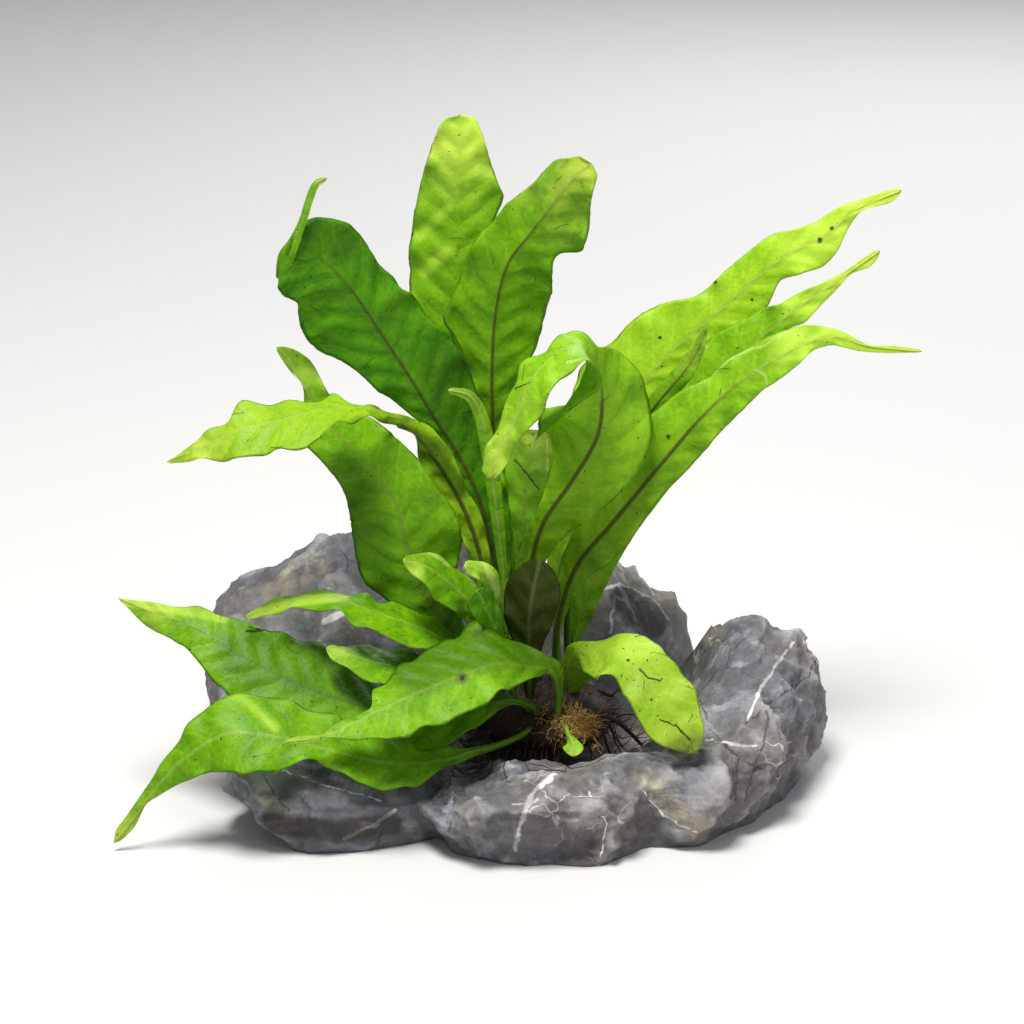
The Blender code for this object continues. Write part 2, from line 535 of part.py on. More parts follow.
def build_leaf(leaf, collection, tree):
    """One leaf, its sheet thickened."""
    obj = add_object(leaf.name, leaf_sheet(leaf, tree), collection, leaf.colour, 0.45)
    thickness = obj.modifiers.new("thickness", "SOLIDIFY")
    thickness.thickness = LEAF_THICKNESS * MM
    thickness.offset = 0.0
    return obj


def main():
    """Builds the whole object."""
    clear_scene()
    parts = new_collection(OBJECT_NAME)
    cutters = new_collection("cutters")
    build_stone(parts)
    rhizome = build_rhizome(parts, cutters)
    bpy.context.view_layer.update()
    tree = solid_tree(rhizome)
    for leaf in LEAVES:
        build_leaf(leaf, parts, tree)


main()
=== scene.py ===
"""Looks of a java fern on its stone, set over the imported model.

Lengths in the tables are in millimetres, and the meshes are in metres, +Z up, with the plant's
front facing -Y. Leaves are set out as the eye sees them, by where their midribs run.
"""

import logging  # noqa: E402
import math  # noqa: E402
import random  # noqa: E402
from dataclasses import dataclass, field  # noqa: E402
from enum import Enum  # noqa: E402

import bmesh  # noqa: E402
import bpy  # noqa: E402
import numpy as np  # noqa: E402
from mathutils import Euler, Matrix, Vector, noise  # noqa: E402
from mathutils.bvhtree import BVHTree  # noqa: E402


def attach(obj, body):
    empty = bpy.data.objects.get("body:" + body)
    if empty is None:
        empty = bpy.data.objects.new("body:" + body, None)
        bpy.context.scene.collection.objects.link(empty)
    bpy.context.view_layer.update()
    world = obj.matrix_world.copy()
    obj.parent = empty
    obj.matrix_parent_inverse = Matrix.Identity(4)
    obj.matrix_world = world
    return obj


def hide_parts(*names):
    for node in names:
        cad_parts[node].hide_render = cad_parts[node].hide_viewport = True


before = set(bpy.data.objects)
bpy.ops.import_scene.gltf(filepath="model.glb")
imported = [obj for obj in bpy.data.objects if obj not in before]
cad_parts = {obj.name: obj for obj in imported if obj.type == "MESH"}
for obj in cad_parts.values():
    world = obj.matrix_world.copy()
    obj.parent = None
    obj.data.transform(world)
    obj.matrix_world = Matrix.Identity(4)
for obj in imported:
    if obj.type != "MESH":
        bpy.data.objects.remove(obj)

LOG = logging.getLogger("java_fern")
MM = 0.001

# The eye that the leaves are set out from, in mm and degrees; the camera stands there too
EYE_TILT_DEG = 20.0
EYE_DISTANCE = 800.0
EYE_AIM_HEIGHT = 69.0
EYE_LENS = 112.5
EYE_SENSOR = 36.0

PATH_SAMPLES = 16

# How much a line drawn where the eye sees it also keeps to its own depth
DEPTH_SHARE = 0.1


class Slot(Enum):
    """The record's material slots."""

    STONE = "stone"
    RHIZOME = "rhizome"
    BRIGHT = "leaf_bright"
    FRESH = "leaf_fresh"
    DEEP = "leaf_deep"
    OLIVE = "leaf_olive"


class Kind(Enum):
    """Socket types of a node group."""

    NUMBER = "NodeSocketFloat"
    COLOUR = "NodeSocketColor"
    VECTOR = "NodeSocketVector"


class NodeGraph:
    """Adds and links the nodes of one node tree."""

    def __init__(self, tree: bpy.types.NodeTree) -> None:
        """Takes hold of a tree.

        Args:
            tree: The node tree to build in.
        """
        self.tree = tree

    def put(self, socket: bpy.types.NodeSocket, value: object) -> None:
        """Links a socket to an output, or sets its value.

        Args:
            socket: The input socket.
            value: An output socket, or the value that the input gets.
        """
        if isinstance(value, bpy.types.NodeSocket):
            self.tree.links.new(value, socket)
        else:
            socket.default_value = value

    def add(self, kind: str, inputs: dict | None = None, **settings: object) -> bpy.types.Node:
        """Adds a node.

        Args:
            kind: Its type name.
            inputs: Values or output sockets, by input name or number.
            **settings: Properties of the node.

        Returns:
            The node.
        """
        node = self.tree.nodes.new(kind)
        for name, value in settings.items():
            setattr(node, name, value)
        for key, value in (inputs or {}).items():
            self.put(node.inputs[key], value)
        return node

    def calc(self, operation: str, *values: object) -> bpy.types.NodeSocket:
        """A number worked out by a Math node.

        Args:
            operation: The node's operation.
            *values: Its operands.

        Returns:
            The result's socket.
        """
        return self.add("ShaderNodeMath", dict(enumerate(values)), operation=operation).outputs[0]

    def vector(self, operation: str, *values: object) -> bpy.types.Node:
        """A Vector Math node.

        Args:
            operation: The node's operation.
            *values: Its operands.

        Returns:
            The node, because its result is a vector or a number.
        """
        return self.add("ShaderNodeVectorMath", dict(enumerate(values)), operation=operation)

    def mix(self, factor: object, first: object, second: object, blend: str = "MIX") -> bpy.types.NodeSocket:
        """Two colours mixed.

        Args:
            factor: How much of the second shows.
            first: The colour below.
            second: The colour on top.
            blend: The blend mode.

        Returns:
            The colour's socket.
        """
        node = self.add("ShaderNodeMix", {0: factor, 6: first, 7: second}, data_type="RGBA", blend_type=blend)
        return node.outputs[2]

    def span(
        self, value: object, low: object, high: object, start: float = 0.0, end: float = 1.0
    ) -> bpy.types.NodeSocket:
        """A number carried smoothly from one range to another.

        Args:
            value: The number.
            low: Where the result is start.
            high: Where the result is end.
            start: The result at low.
            end: The result at high.

        Returns:
            The result's socket.
        """
        node = self.add(
            "ShaderNodeMapRange", {0: value, 1: low, 2: high, 3: start, 4: end}, interpolation_type="SMOOTHSTEP")
        return node.outputs[0]

    def noise(self, where: object, scale: float, detail: float = 2.0, rough: float = 0.5) -> bpy.types.NodeSocket:
        """A noise texture's number.

        Args:
            where: The coordinates.
            scale: Waves per unit of the coordinates.
            detail: Octaves.
            rough: How much the finer octaves count.

        Returns:
            The number's socket.
        """
        node = self.add(
            "ShaderNodeTexNoise", {"Vector": where, "Scale": scale, "Detail": detail, "Roughness": rough})
        return node.outputs[0]

    def cells(self, where: object, scale: float, feature: str = "F1", flat: bool = False) -> bpy.types.Node:
        """A Voronoi texture.

        Args:
            where: The coordinates.
            scale: Cells per unit of the coordinates.
            feature: What it measures.
            flat: Whether it is two-dimensional.

        Returns:
            The node.
        """
        return self.add(
            "ShaderNodeTexVoronoi", {"Vector": where, "Scale": scale}, feature=feature,
            voronoi_dimensions="2D" if flat else "3D")

    def parts(self, value: object) -> list:
        """A vector's three numbers.

        Args:
            value: The vector's socket.

        Returns:
            Sockets of its x, y and z.
        """
        return list(self.add("ShaderNodeSeparateXYZ", {0: value}).outputs)

    def use(self, group: bpy.types.NodeTree, **inputs: object) -> bpy.types.Node:
        """Adds a group node.

        Args:
            group: The group.
            **inputs: Values or output sockets, by input name.

        Returns:
            The group node.
        """
        node = self.add("ShaderNodeGroup", node_tree=group)
        for name, value in inputs.items():
            self.put(node.inputs[name], value)
        return node


class Group(NodeGraph):
    """A node group under construction."""

    def __init__(self, name: str, inputs: dict, outputs: dict) -> None:
        """Makes the group and its sockets.

        Args:
            name: The group's name.
            inputs: Socket kinds by input name.
            outputs: Socket kinds by output name.
        """
        super().__init__(bpy.data.node_groups.new(name, "ShaderNodeTree"))
        for direction, sockets in (("INPUT", inputs), ("OUTPUT", outputs)):
            for label, kind in sockets.items():
                self.tree.interface.new_socket(label, in_out=direction, socket_type=kind.value)
        self.source = self.tree.nodes.new("NodeGroupInput").outputs
        self.sink = self.tree.nodes.new("NodeGroupOutput").inputs

    def give(self, **results: object) -> bpy.types.NodeTree:
        """Links the results to the group's outputs.

        Args:
            **results: Output sockets or values, by output name.

        Returns:
            The finished group.
        """
        for name, value in results.items():
            self.put(self.sink[name], value)
        return self.tree


def bits_group() -> bpy.types.NodeTree:
    """Short dark threads and specks lying at random over a flat pattern.

    Returns:
        The group.
    """
    group = Group(
        "bits", {"where": Kind.VECTOR, "scale": Kind.NUMBER, "share": Kind.NUMBER, "long": Kind.NUMBER, "wide": Kind.NUMBER},
        {"mask": Kind.NUMBER})
    scaled = group.vector("SCALE", group.source["where"])
    group.put(scaled.inputs[3], group.source["scale"])
    cell = group.add("ShaderNodeTexVoronoi", {"Vector": scaled.outputs[0], "Scale": 1.0}, voronoi_dimensions="2D")
    offset = group.vector("SUBTRACT", scaled.outputs[0], cell.outputs["Position"]).outputs[0]
    draw = group.add("ShaderNodeSeparateColor", {0: cell.outputs["Color"]}).outputs
    turned = group.add(
        "ShaderNodeVectorRotate", {"Vector": offset, "Angle": group.calc("MULTIPLY", draw[0], math.pi)},
        rotation_type="Z_AXIS").outputs[0]
    along, across, _ = group.parts(turned)
    bend = group.calc("MULTIPLY", group.calc("MULTIPLY", along, along), group.calc("SUBTRACT", draw[2], 0.5))
    length = group.calc("MULTIPLY", group.source["long"], group.calc("ADD", draw[1], 0.25))
    far = group.calc("ABSOLUTE", group.calc("ADD", across, bend))
    thin = group.span(far, group.source["wide"], group.calc("MULTIPLY", group.source["wide"], 0.5))
    short = group.span(group.calc("ABSOLUTE", along), length, group.calc("MULTIPLY", length, 0.8))
    there = group.calc("LESS_THAN", draw[2], group.source["share"])
    return group.give(mask=group.calc("MULTIPLY", group.calc("MULTIPLY", thin, short), there))


def segment_group() -> bpy.types.NodeTree:
    """How near a point is to a straight line between two points, as a soft mask.

    Returns:
        The group.
    """
    group = Group(
        "segment", {"where": Kind.VECTOR, "start": Kind.VECTOR, "end": Kind.VECTOR, "wide": Kind.NUMBER},
        {"mask": Kind.NUMBER})
    reach = group.vector("SUBTRACT", group.source["end"], group.source["start"]).outputs[0]
    offset = group.vector("SUBTRACT", group.source["where"], group.source["start"]).outputs[0]
    share = group.calc(
        "DIVIDE", group.vector("DOT_PRODUCT", offset, reach).outputs["Value"],
        group.vector("DOT_PRODUCT", reach, reach).outputs["Value"])
    held = group.add("ShaderNodeClamp", {0: share}).outputs[0]
    nearest = group.vector("SCALE", reach)
    group.put(nearest.inputs[3], held)
    gap = group.vector("DISTANCE", offset, nearest.outputs[0]).outputs["Value"]
    edge = group.calc("MULTIPLY", group.source["wide"], 0.45)
    return group.give(mask=group.span(gap, group.source["wide"], edge))


def view_group() -> bpy.types.NodeTree:
    """Where the eye sees a point: across, rise, and a tenth of its depth, in mm.

    Returns:
        The group.
    """
    group = Group("where seen", {"where": Kind.VECTOR}, {"spot": Kind.VECTOR})
    tilt = math.radians(EYE_TILT_DEG)
    across, depth, height = group.parts(group.source["where"])
    height = group.calc("SUBTRACT", height, EYE_AIM_HEIGHT)
    nearer = group.calc("SUBTRACT", group.calc("MULTIPLY", height, math.sin(tilt)),
                        group.calc("MULTIPLY", depth, math.cos(tilt)))
    scale = group.calc("SUBTRACT", 1.0, group.calc("DIVIDE", nearer, EYE_DISTANCE))
    rise = group.calc("ADD", group.calc("MULTIPLY", depth, math.sin(tilt)),
                      group.calc("MULTIPLY", height, math.cos(tilt)))
    spot = group.add("ShaderNodeCombineXYZ", {
        0: group.calc("DIVIDE", across, scale), 1: group.calc("DIVIDE", rise, scale),
        2: group.calc("MULTIPLY", depth, DEPTH_SHARE)})
    return group.give(spot=spot.outputs[0])


def shared(name: str, make: object) -> bpy.types.NodeTree:
    """A node group that is made only once.

    Args:
        name: Its name.
        make: What makes it.

    Returns:
        The group.
    """
    return bpy.data.node_groups.get(name) or make()


def drawn(graph: NodeGraph, where: bpy.types.NodeSocket, lines: list) -> object:
    """Lines drawn on a surface, joined into one mask.

    Args:
        graph: The material's nodes.
        where: The place that the eye sees, with a tenth of the depth, in mm.
        lines: Pairs of the line's points on the surface and half its width.

    Returns:
        The mask's socket, or 0 where there are no lines.
    """
    mask = 0.0
    for spots, wide in lines:
        seen = [(*view_of(np.array(spot)), DEPTH_SHARE * spot.y) for spot in spots]
        for start, end in zip(seen, seen[1:] or [(seen[0][0] + 0.01, *seen[0][1:])]):
            part = graph.use(shared("segment", segment_group), where=where, start=start, end=end, wide=wide)
            mask = graph.calc("MAXIMUM", mask, part.outputs[0])
    return mask


def leaf_group(bits: bpy.types.NodeTree) -> bpy.types.NodeTree:
    """The pattern of a leaf blade, from its own flat coordinates in cm and its looks attribute.

    The looks attribute holds how near the margin a point is, how far along the leaf, and how much the side there is
    an underside. The tones attribute holds painted shade, paleness with painted light, and brown.

    Args:
        bits: The group of threads and specks.

    Returns:
        The group.
    """
    group = Group(
        "leaf surface",
        {"lit": Kind.COLOUR, "deep": Kind.COLOUR, "rib": Kind.COLOUR, "shift": Kind.VECTOR, "specks": Kind.NUMBER,
         "wilt": Kind.NUMBER, "dark": Kind.NUMBER, "pale": Kind.NUMBER, "ribbed": Kind.NUMBER,
         "tip": Kind.NUMBER},
        {"colour": Kind.COLOUR, "glow": Kind.COLOUR, "rough": Kind.NUMBER, "height": Kind.NUMBER})
    flat = group.add("ShaderNodeUVMap", uv_map="blade").outputs[0]
    looks = group.add("ShaderNodeAttribute", attribute_name="looks").outputs["Vector"]
    margin, along, under = group.parts(looks)
    tones = group.add("ShaderNodeAttribute", attribute_name="tones").outputs["Vector"]
    shaded, lit_paleness, brown = group.parts(tones)
    side, length, _ = group.parts(flat)
    off_rib = group.calc("ABSOLUTE", side)
    here = group.vector("ADD", flat, group.source["shift"]).outputs[0]
    patches = group.noise(here, 1.6, 3.0, 0.55)
    mottle = group.noise(here, 7.0, 2.0, 0.6)
    grain = group.noise(here, 34.0, 2.0, 0.6)
    slant = group.calc("SUBTRACT", length, group.calc("MULTIPLY", off_rib, 0.85))
    warped = group.calc("ADD", group.calc("MULTIPLY", slant, 1.55), group.calc("MULTIPLY", patches, 0.9))
    between = group.calc("PINGPONG", warped, 0.5)
    vein = group.span(between, 0.075, 0.0)
    net = group.cells(here, 5.2, "DISTANCE_TO_EDGE", flat=True).outputs["Distance"]
    mesh = group.span(net, 0.07, 0.0)
    tone = group.calc("ADD", group.calc("MULTIPLY", patches, 0.62), group.calc("MULTIPLY", mottle, 0.38))
    colour = group.mix(group.span(tone, 0.30, 0.70), group.source["deep"], group.source["lit"])
    colour = group.mix(group.calc("MULTIPLY", vein, 0.22), colour, group.source["lit"], "SCREEN")
    colour = group.mix(group.calc("MULTIPLY", mesh, 0.05), colour, (0.30, 0.42, 0.02, 1.0), "MULTIPLY")
    colour = group.mix(group.span(grain, 0.45, 0.75, 0.0, 0.16), colour, (0.25, 0.40, 0.02, 1.0), "MULTIPLY")
    pale_rib = group.calc("MULTIPLY", group.span(off_rib, 0.07, 0.02), group.calc("SUBTRACT", 1.0, under))
    pale_rib = group.calc("MULTIPLY", pale_rib, group.source["ribbed"])
    colour = group.mix(group.calc("MULTIPLY", pale_rib, 0.22), colour, (0.62, 0.80, 0.20, 1.0))
    rib_wide = group.span(along, 0.1, 0.95, 0.078, 0.034)
    rib = group.calc("MULTIPLY", group.span(off_rib, rib_wide, group.calc("MULTIPLY", rib_wide, 0.55)), under)
    rib = group.calc("MULTIPLY", rib, group.source["ribbed"])
    fading = group.calc("MULTIPLY", rib, group.span(along, 0.97, 0.80, 0.15, 0.85))
    colour = group.mix(fading, colour, group.source["rib"])
    # Painted shade darkens the blade where the tones say. Then paleness, which is partly painted light, lightens it.
    colour = group.mix(group.calc("MULTIPLY", shaded, 0.85), colour, (0.20, 0.30, 0.10, 1.0), "MULTIPLY")
    colour = group.mix(group.calc("MULTIPLY", lit_paleness, 0.80), colour, (0.68, 0.92, 0.10, 1.0))
    # Painted shade: the blade darkens towards its stalk, where the crown lies in shade.
    stalk_shade = group.span(along, 0.05, 0.40, 0.60, 0.0)
    colour = group.mix(stalk_shade, colour, (0.25, 0.36, 0.12, 1.0), "MULTIPLY")
    yellow = group.calc("MULTIPLY", group.span(along, 0.80, 1.0), group.span(patches, 0.40, 0.60, 0.15, 0.55))
    yellow = group.calc("MULTIPLY", yellow, group.source["tip"])
    colour = group.mix(yellow, colour, (0.72, 0.80, 0.14, 1.0))
    frayed = group.calc("ADD", margin, group.calc("MULTIPLY", group.calc("SUBTRACT", mottle, 0.5), 0.22))
    worn = group.calc("MULTIPLY", group.span(frayed, 0.955, 1.03), group.span(patches, 0.46, 0.60))
    colour = group.mix(group.calc("MULTIPLY", worn, 0.62), colour, (0.16, 0.10, 0.02, 1.0))
    wilted = group.calc("MAXIMUM", group.source["wilt"], brown)
    wilted = group.calc("MULTIPLY", wilted, group.span(tone, 0.38, 0.60, 0.45, 1.0))
    colour = group.mix(wilted, colour, (0.13, 0.11, 0.028, 1.0))
    threads = group.use(bits, where=here, scale=1.5, share=group.source["specks"], long=0.30, wide=0.018)
    dots = group.use(bits, where=here, scale=3.4, share=group.source["specks"], long=0.10, wide=0.07)
    dark = group.calc("MAXIMUM", threads.outputs[0], dots.outputs[0])
    dark = group.calc("MAXIMUM", dark, group.source["dark"])
    # Pale marks: painted highlights on folds and curls.
    colour = group.mix(group.calc("MULTIPLY", group.source["pale"], 0.55), colour, (0.66, 0.78, 0.22, 1.0))
    colour = group.mix(group.calc("MULTIPLY", dark, 0.88), colour, (0.022, 0.020, 0.006, 1.0))
    glow = group.mix(1.0, colour, (1.0, 1.0, 0.30, 1.0), "MULTIPLY")
    lined = group.calc("MULTIPLY", group.span(off_rib, 0.09, 0.03), group.source["ribbed"])
    glow = group.mix(group.calc("MULTIPLY", lined, 0.6), glow, (0.03, 0.05, 0.003, 1.0))
    rough = group.span(mottle, 0.3, 0.7, 0.36, 0.52)
    quilt = group.calc("MULTIPLY", group.span(between, 0.0, 0.35), 0.45)
    height = group.calc("ADD", quilt, group.calc("MULTIPLY", group.span(net, 0.0, 0.16), 0.07))
    height = group.calc("ADD", height, group.calc("MULTIPLY", grain, 0.22))
    height = group.calc("ADD", height, group.calc("MULTIPLY", mottle, 0.9))
    return group.give(colour=colour, glow=glow, rough=rough, height=height)


@dataclass(frozen=True)
class LeafFinish:
    """Living leaf: its colours, and how worn it is."""

    lit: tuple
    deep: tuple
    rib: tuple = (0.10, 0.085, 0.016)
    specks: float = 0.06
    wilt: float = 0.0
    ribbed: float = 1.0
    tip: float = 1.0
    through: float = 0.42
    bump_height: float = 0.00022
    bump_strength: float = 0.9

    def make(self, name: str, surface: bpy.types.NodeTree, shift: tuple, marks: list) -> bpy.types.Material:
        """Makes the material.

        Args:
            name: The material's name.
            surface: The leaf pattern's group.
            shift: Where in the pattern this leaf lies, in cm.
            marks: Its marks, each with its points on the leaf.

        Returns:
            The material.
        """
        material = new_material(name)
        graph = NodeGraph(material.node_tree)
        scaled = graph.vector("SCALE", graph.add("ShaderNodeTexCoord").outputs["Object"])
        graph.put(scaled.inputs[3], 1000.0)
        seen = graph.use(shared("where seen", view_group), where=scaled.outputs[0]).outputs[0]
        wander = graph.add("ShaderNodeTexNoise", {"Vector": seen, "Scale": 0.5, "Detail": 2.0}).outputs[1]
        seen = graph.vector("ADD", seen, graph.vector("SUBTRACT", wander, (0.5, 0.5, 0.5)).outputs[0]).outputs[0]
        # The pale marks are painted highlights, mostly on folds and curls. The dark ones are threads and specks.
        dark, pale = (
            drawn(graph, seen, [(spots, mark.wide) for mark, spots in marks if mark.pale == bright])
            for bright in (False, True))
        pattern = graph.use(
            surface, lit=(*self.lit, 1.0), deep=(*self.deep, 1.0), rib=(*self.rib, 1.0), shift=shift,
            specks=self.specks, wilt=self.wilt, dark=dark, pale=pale, ribbed=self.ribbed,
            tip=self.tip)
        relief = graph.add("ShaderNodeBump", {
            "Height": pattern.outputs["height"], "Distance": self.bump_height, "Strength": self.bump_strength})
        skin = graph.add("ShaderNodeBsdfPrincipled", {
            "Base Color": pattern.outputs["colour"], "Roughness": pattern.outputs["rough"],
            "Normal": relief.outputs[0]})
        skin.inputs["Specular IOR Level"].default_value = 0.24
        light = graph.add("ShaderNodeBsdfTranslucent", {
            "Color": pattern.outputs["glow"], "Normal": relief.outputs[0]})
        both = graph.add("ShaderNodeMixShader", {0: self.through, 1: skin.outputs[0], 2: light.outputs[0]})
        graph.add("ShaderNodeOutputMaterial", {0: both.outputs[0]})
        return material


def new_material(name: str) -> bpy.types.Material:
    """An empty node material.

    Args:
        name: Its name.

    Returns:
        The material, with no nodes.
    """
    material = bpy.data.materials.new(name)
    material.use_nodes = True
    material.node_tree.nodes.clear()
    return material


def unit(vectors: np.ndarray) -> np.ndarray:
    """Vectors scaled to length one.

    Args:
        vectors: One vector a row.

    Returns:
        The unit vectors.
    """
    return vectors / np.maximum(np.linalg.norm(vectors, axis=-1, keepdims=True), 1e-9)


def ease(values: np.ndarray, low: float, high: float) -> np.ndarray:
    """A smooth step from 0 at low to 1 at high.

    Args:
        values: The numbers.
        low: Where the step starts.
        high: Where it ends.

    Returns:
        The stepped numbers.
    """
    t = np.clip((values - low) / (high - low), 0.0, 1.0)
    return t * t * (3.0 - 2.0 * t)


def smooth_path(points: object, count: int) -> np.ndarray:
    """Points evenly spaced along the smooth curve through the given ones.

    Args:
        points: Rows of x, y, z and any further values.
        count: How many points to return.

    Returns:
        The rows, further values included.
    """
    points = np.array(points, dtype=float)
    padded = np.vstack([2 * points[0] - points[1], points, 2 * points[-1] - points[-2]])
    fine = []
    for before, start, end, after in zip(padded, padded[1:], padded[2:], padded[3:]):
        for t in np.linspace(0.0, 1.0, PATH_SAMPLES, endpoint=False):
            fine.append(0.5 * (
                2 * start + (end - before) * t
                + (2 * before - 5 * start + 4 * end - after) * t ** 2
                + (3 * start - before - 3 * end + after) * t ** 3))
    fine.append(points[-1])
    fine = np.array(fine)
    steps = np.linalg.norm(np.diff(fine[:, :3], axis=0), axis=1)
    along = np.concatenate([[0.0], np.cumsum(steps)])
    wanted = np.linspace(0.0, along[-1], count)
    return np.column_stack([np.interp(wanted, along, column) for column in fine.T])


def eye_point() -> Vector:
    """Where the eye is.

    Returns:
        The point, in mm.
    """
    tilt = math.radians(EYE_TILT_DEG)
    return Vector((0.0, -EYE_DISTANCE * math.cos(tilt), EYE_AIM_HEIGHT + EYE_DISTANCE * math.sin(tilt)))


def place(across: float, rise: float, depth: float) -> Vector:
    """The point that the eye sees at across and rise and that lies at a depth.

    Args:
        across: How far right of the eye's aim.
        rise: How far above it.
        depth: How far back it lies, as +Y.

    Returns:
        The point, in mm.
    """
    tilt = math.radians(EYE_TILT_DEG)
    slope = rise * math.sin(tilt)
    nearer = (slope - depth) / (math.cos(tilt) + slope / EYE_DISTANCE)
    scale = 1.0 - nearer / EYE_DISTANCE
    height = EYE_AIM_HEIGHT + nearer * math.sin(tilt) + rise * math.cos(tilt) * scale
    return Vector((across * scale, depth, height))


def view_of(points: np.ndarray) -> np.ndarray:
    """Where the eye sees points.

    Args:
        points: Points' x, y, z, in mm, along the last axis.

    Returns:
        How far across and how high the eye sees each point, along the last axis.
    """
    tilt = math.radians(EYE_TILT_DEG)
    level, height = points[..., 1], points[..., 2] - EYE_AIM_HEIGHT
    scale = 1.0 - (height * math.sin(tilt) - level * math.cos(tilt)) / EYE_DISTANCE
    rise = level * math.sin(tilt) + height * math.cos(tilt)
    return np.stack([points[..., 0] / scale, rise / scale], axis=-1)


def seen_on(tree: BVHTree, across: float, rise: float) -> Vector:
    """The point of a surface that the eye sees at across and rise.

    Args:
        tree: The surface's search tree, in metres.
        across: How far right of the eye's aim, in mm.
        rise: How far above it, in mm.

    Returns:
        The point, in mm.
    """
    eye = eye_point()
    line = (place(across, rise, 0.0) - eye).normalized()
    hit, _, _, _ = tree.ray_cast(eye * MM, line)
    if hit is None:
        hit, _, _, _ = tree.find_nearest(place(across, rise, 0.0) * MM)
    return hit / MM


def tree_of(obj: bpy.types.Object) -> BVHTree:
    """A search tree over an object's surface.

    Args:
        obj: The object.

    Returns:
        The tree, in metres.
    """
    return BVHTree.FromObject(obj, bpy.context.evaluated_depsgraph_get())


def roughness(points: np.ndarray, span: float, start: tuple = (0.0, 0.0, 0.0)) -> np.ndarray:
    """Noise at each point.

    Args:
        points: Rows of x, y, z.
        span: The size of its waves.
        start: Where in the noise the rows are read from.

    Returns:
        A number from -1 to 1 for each row.
    """
    moved = np.asarray(points) / span + np.array(start)
    return np.array([noise.noise(Vector(row)) for row in moved])


def grid_mesh(name: str, points: np.ndarray, looks: dict | None = None, flat: np.ndarray | None = None,
              weld: float = 2e-6) -> bpy.types.Mesh:
    """A closed mesh from a grid of points whose first and last columns meet.

    Args:
        name: The mesh's name.
        points: Rows by columns of x, y, z, in mm.
        looks: Rows by columns of three numbers, by the name of the attribute that keeps them.
        flat: Rows by columns of two flat coordinates, kept as its blade coordinates.
        weld: How near points are joined, in metres.

    Returns:
        The mesh, with its open ends filled and its faces outwards.
    """
    rows, columns = points.shape[:2]
    mesh = bpy.data.meshes.new(name)
    bm = bmesh.new()
    bmesh.ops.create_grid(bm, x_segments=columns - 1, y_segments=rows - 1, size=1.0)
    bm.to_mesh(mesh)
    mesh.vertices.foreach_set("co", (points.reshape(-1, 3) * MM).ravel())
    for label, values in (looks or {}).items():
        mesh.attributes.new(label, "FLOAT_VECTOR", "POINT")
        mesh.attributes[label].data.foreach_set("vector", values.reshape(-1, 3).ravel())
    if flat is not None:
        layer = mesh.uv_layers.new(name="blade")
        corners = np.empty(len(mesh.loops), dtype=np.int32)
        mesh.loops.foreach_get("vertex_index", corners)
        layer.data.foreach_set("uv", flat.reshape(-1, 2)[corners].ravel())
    bm.clear()
    bm.from_mesh(mesh)
    bmesh.ops.remove_doubles(bm, verts=bm.verts, dist=weld)
    bmesh.ops.dissolve_degenerate(bm, edges=bm.edges, dist=weld)
    bmesh.ops.holes_fill(bm, edges=[edge for edge in bm.edges if edge.is_boundary], sides=0)
    bmesh.ops.recalc_face_normals(bm, faces=bm.faces)
    bm.to_mesh(mesh)
    bm.free()
    mesh.shade_smooth()
    return mesh


def add_piece(name: str, mesh: bpy.types.Mesh, slot: Slot, *nodes: str) -> bpy.types.Object:
    """Adds a mesh as a piece of the object, riding on its one body.

    Args:
        name: The piece's name.
        mesh: The mesh.
        slot: Its material slot; not used.
        *nodes: The CAD nodes that it stands for.

    Returns:
        The piece.
    """
    piece = bpy.data.objects.new(name, mesh)
    bpy.context.scene.collection.objects.link(piece)
    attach(piece, "root")
    if nodes:
        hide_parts(*nodes)
    LOG.info("%s: %d faces", name, len(mesh.polygons))
    return piece


class Tone(Enum):
    """What a soft area does to a leaf's colour: its tones are painted shade, paleness with painted light, and brown.
    """

    DARK = 0
    PALE = 1
    BROWN = 2


@dataclass(frozen=True)
class Shade:
    """A soft area on a leaf, along the points where the eye sees it, in mm: painted shade, paleness with painted
    light, and brown, by its tone.
    """

    tone: Tone
    wide: float
    points: tuple
    strength: float = 1.0


@dataclass(frozen=True)
class Mark:
    """A thin line or a spot on a leaf, by the points where the eye sees it, in mm. A dark one is a thread or speck,
    and a pale one is a painted highlight, mostly on a fold or curl.
    """

    wide: float
    points: tuple
    pale: bool = False


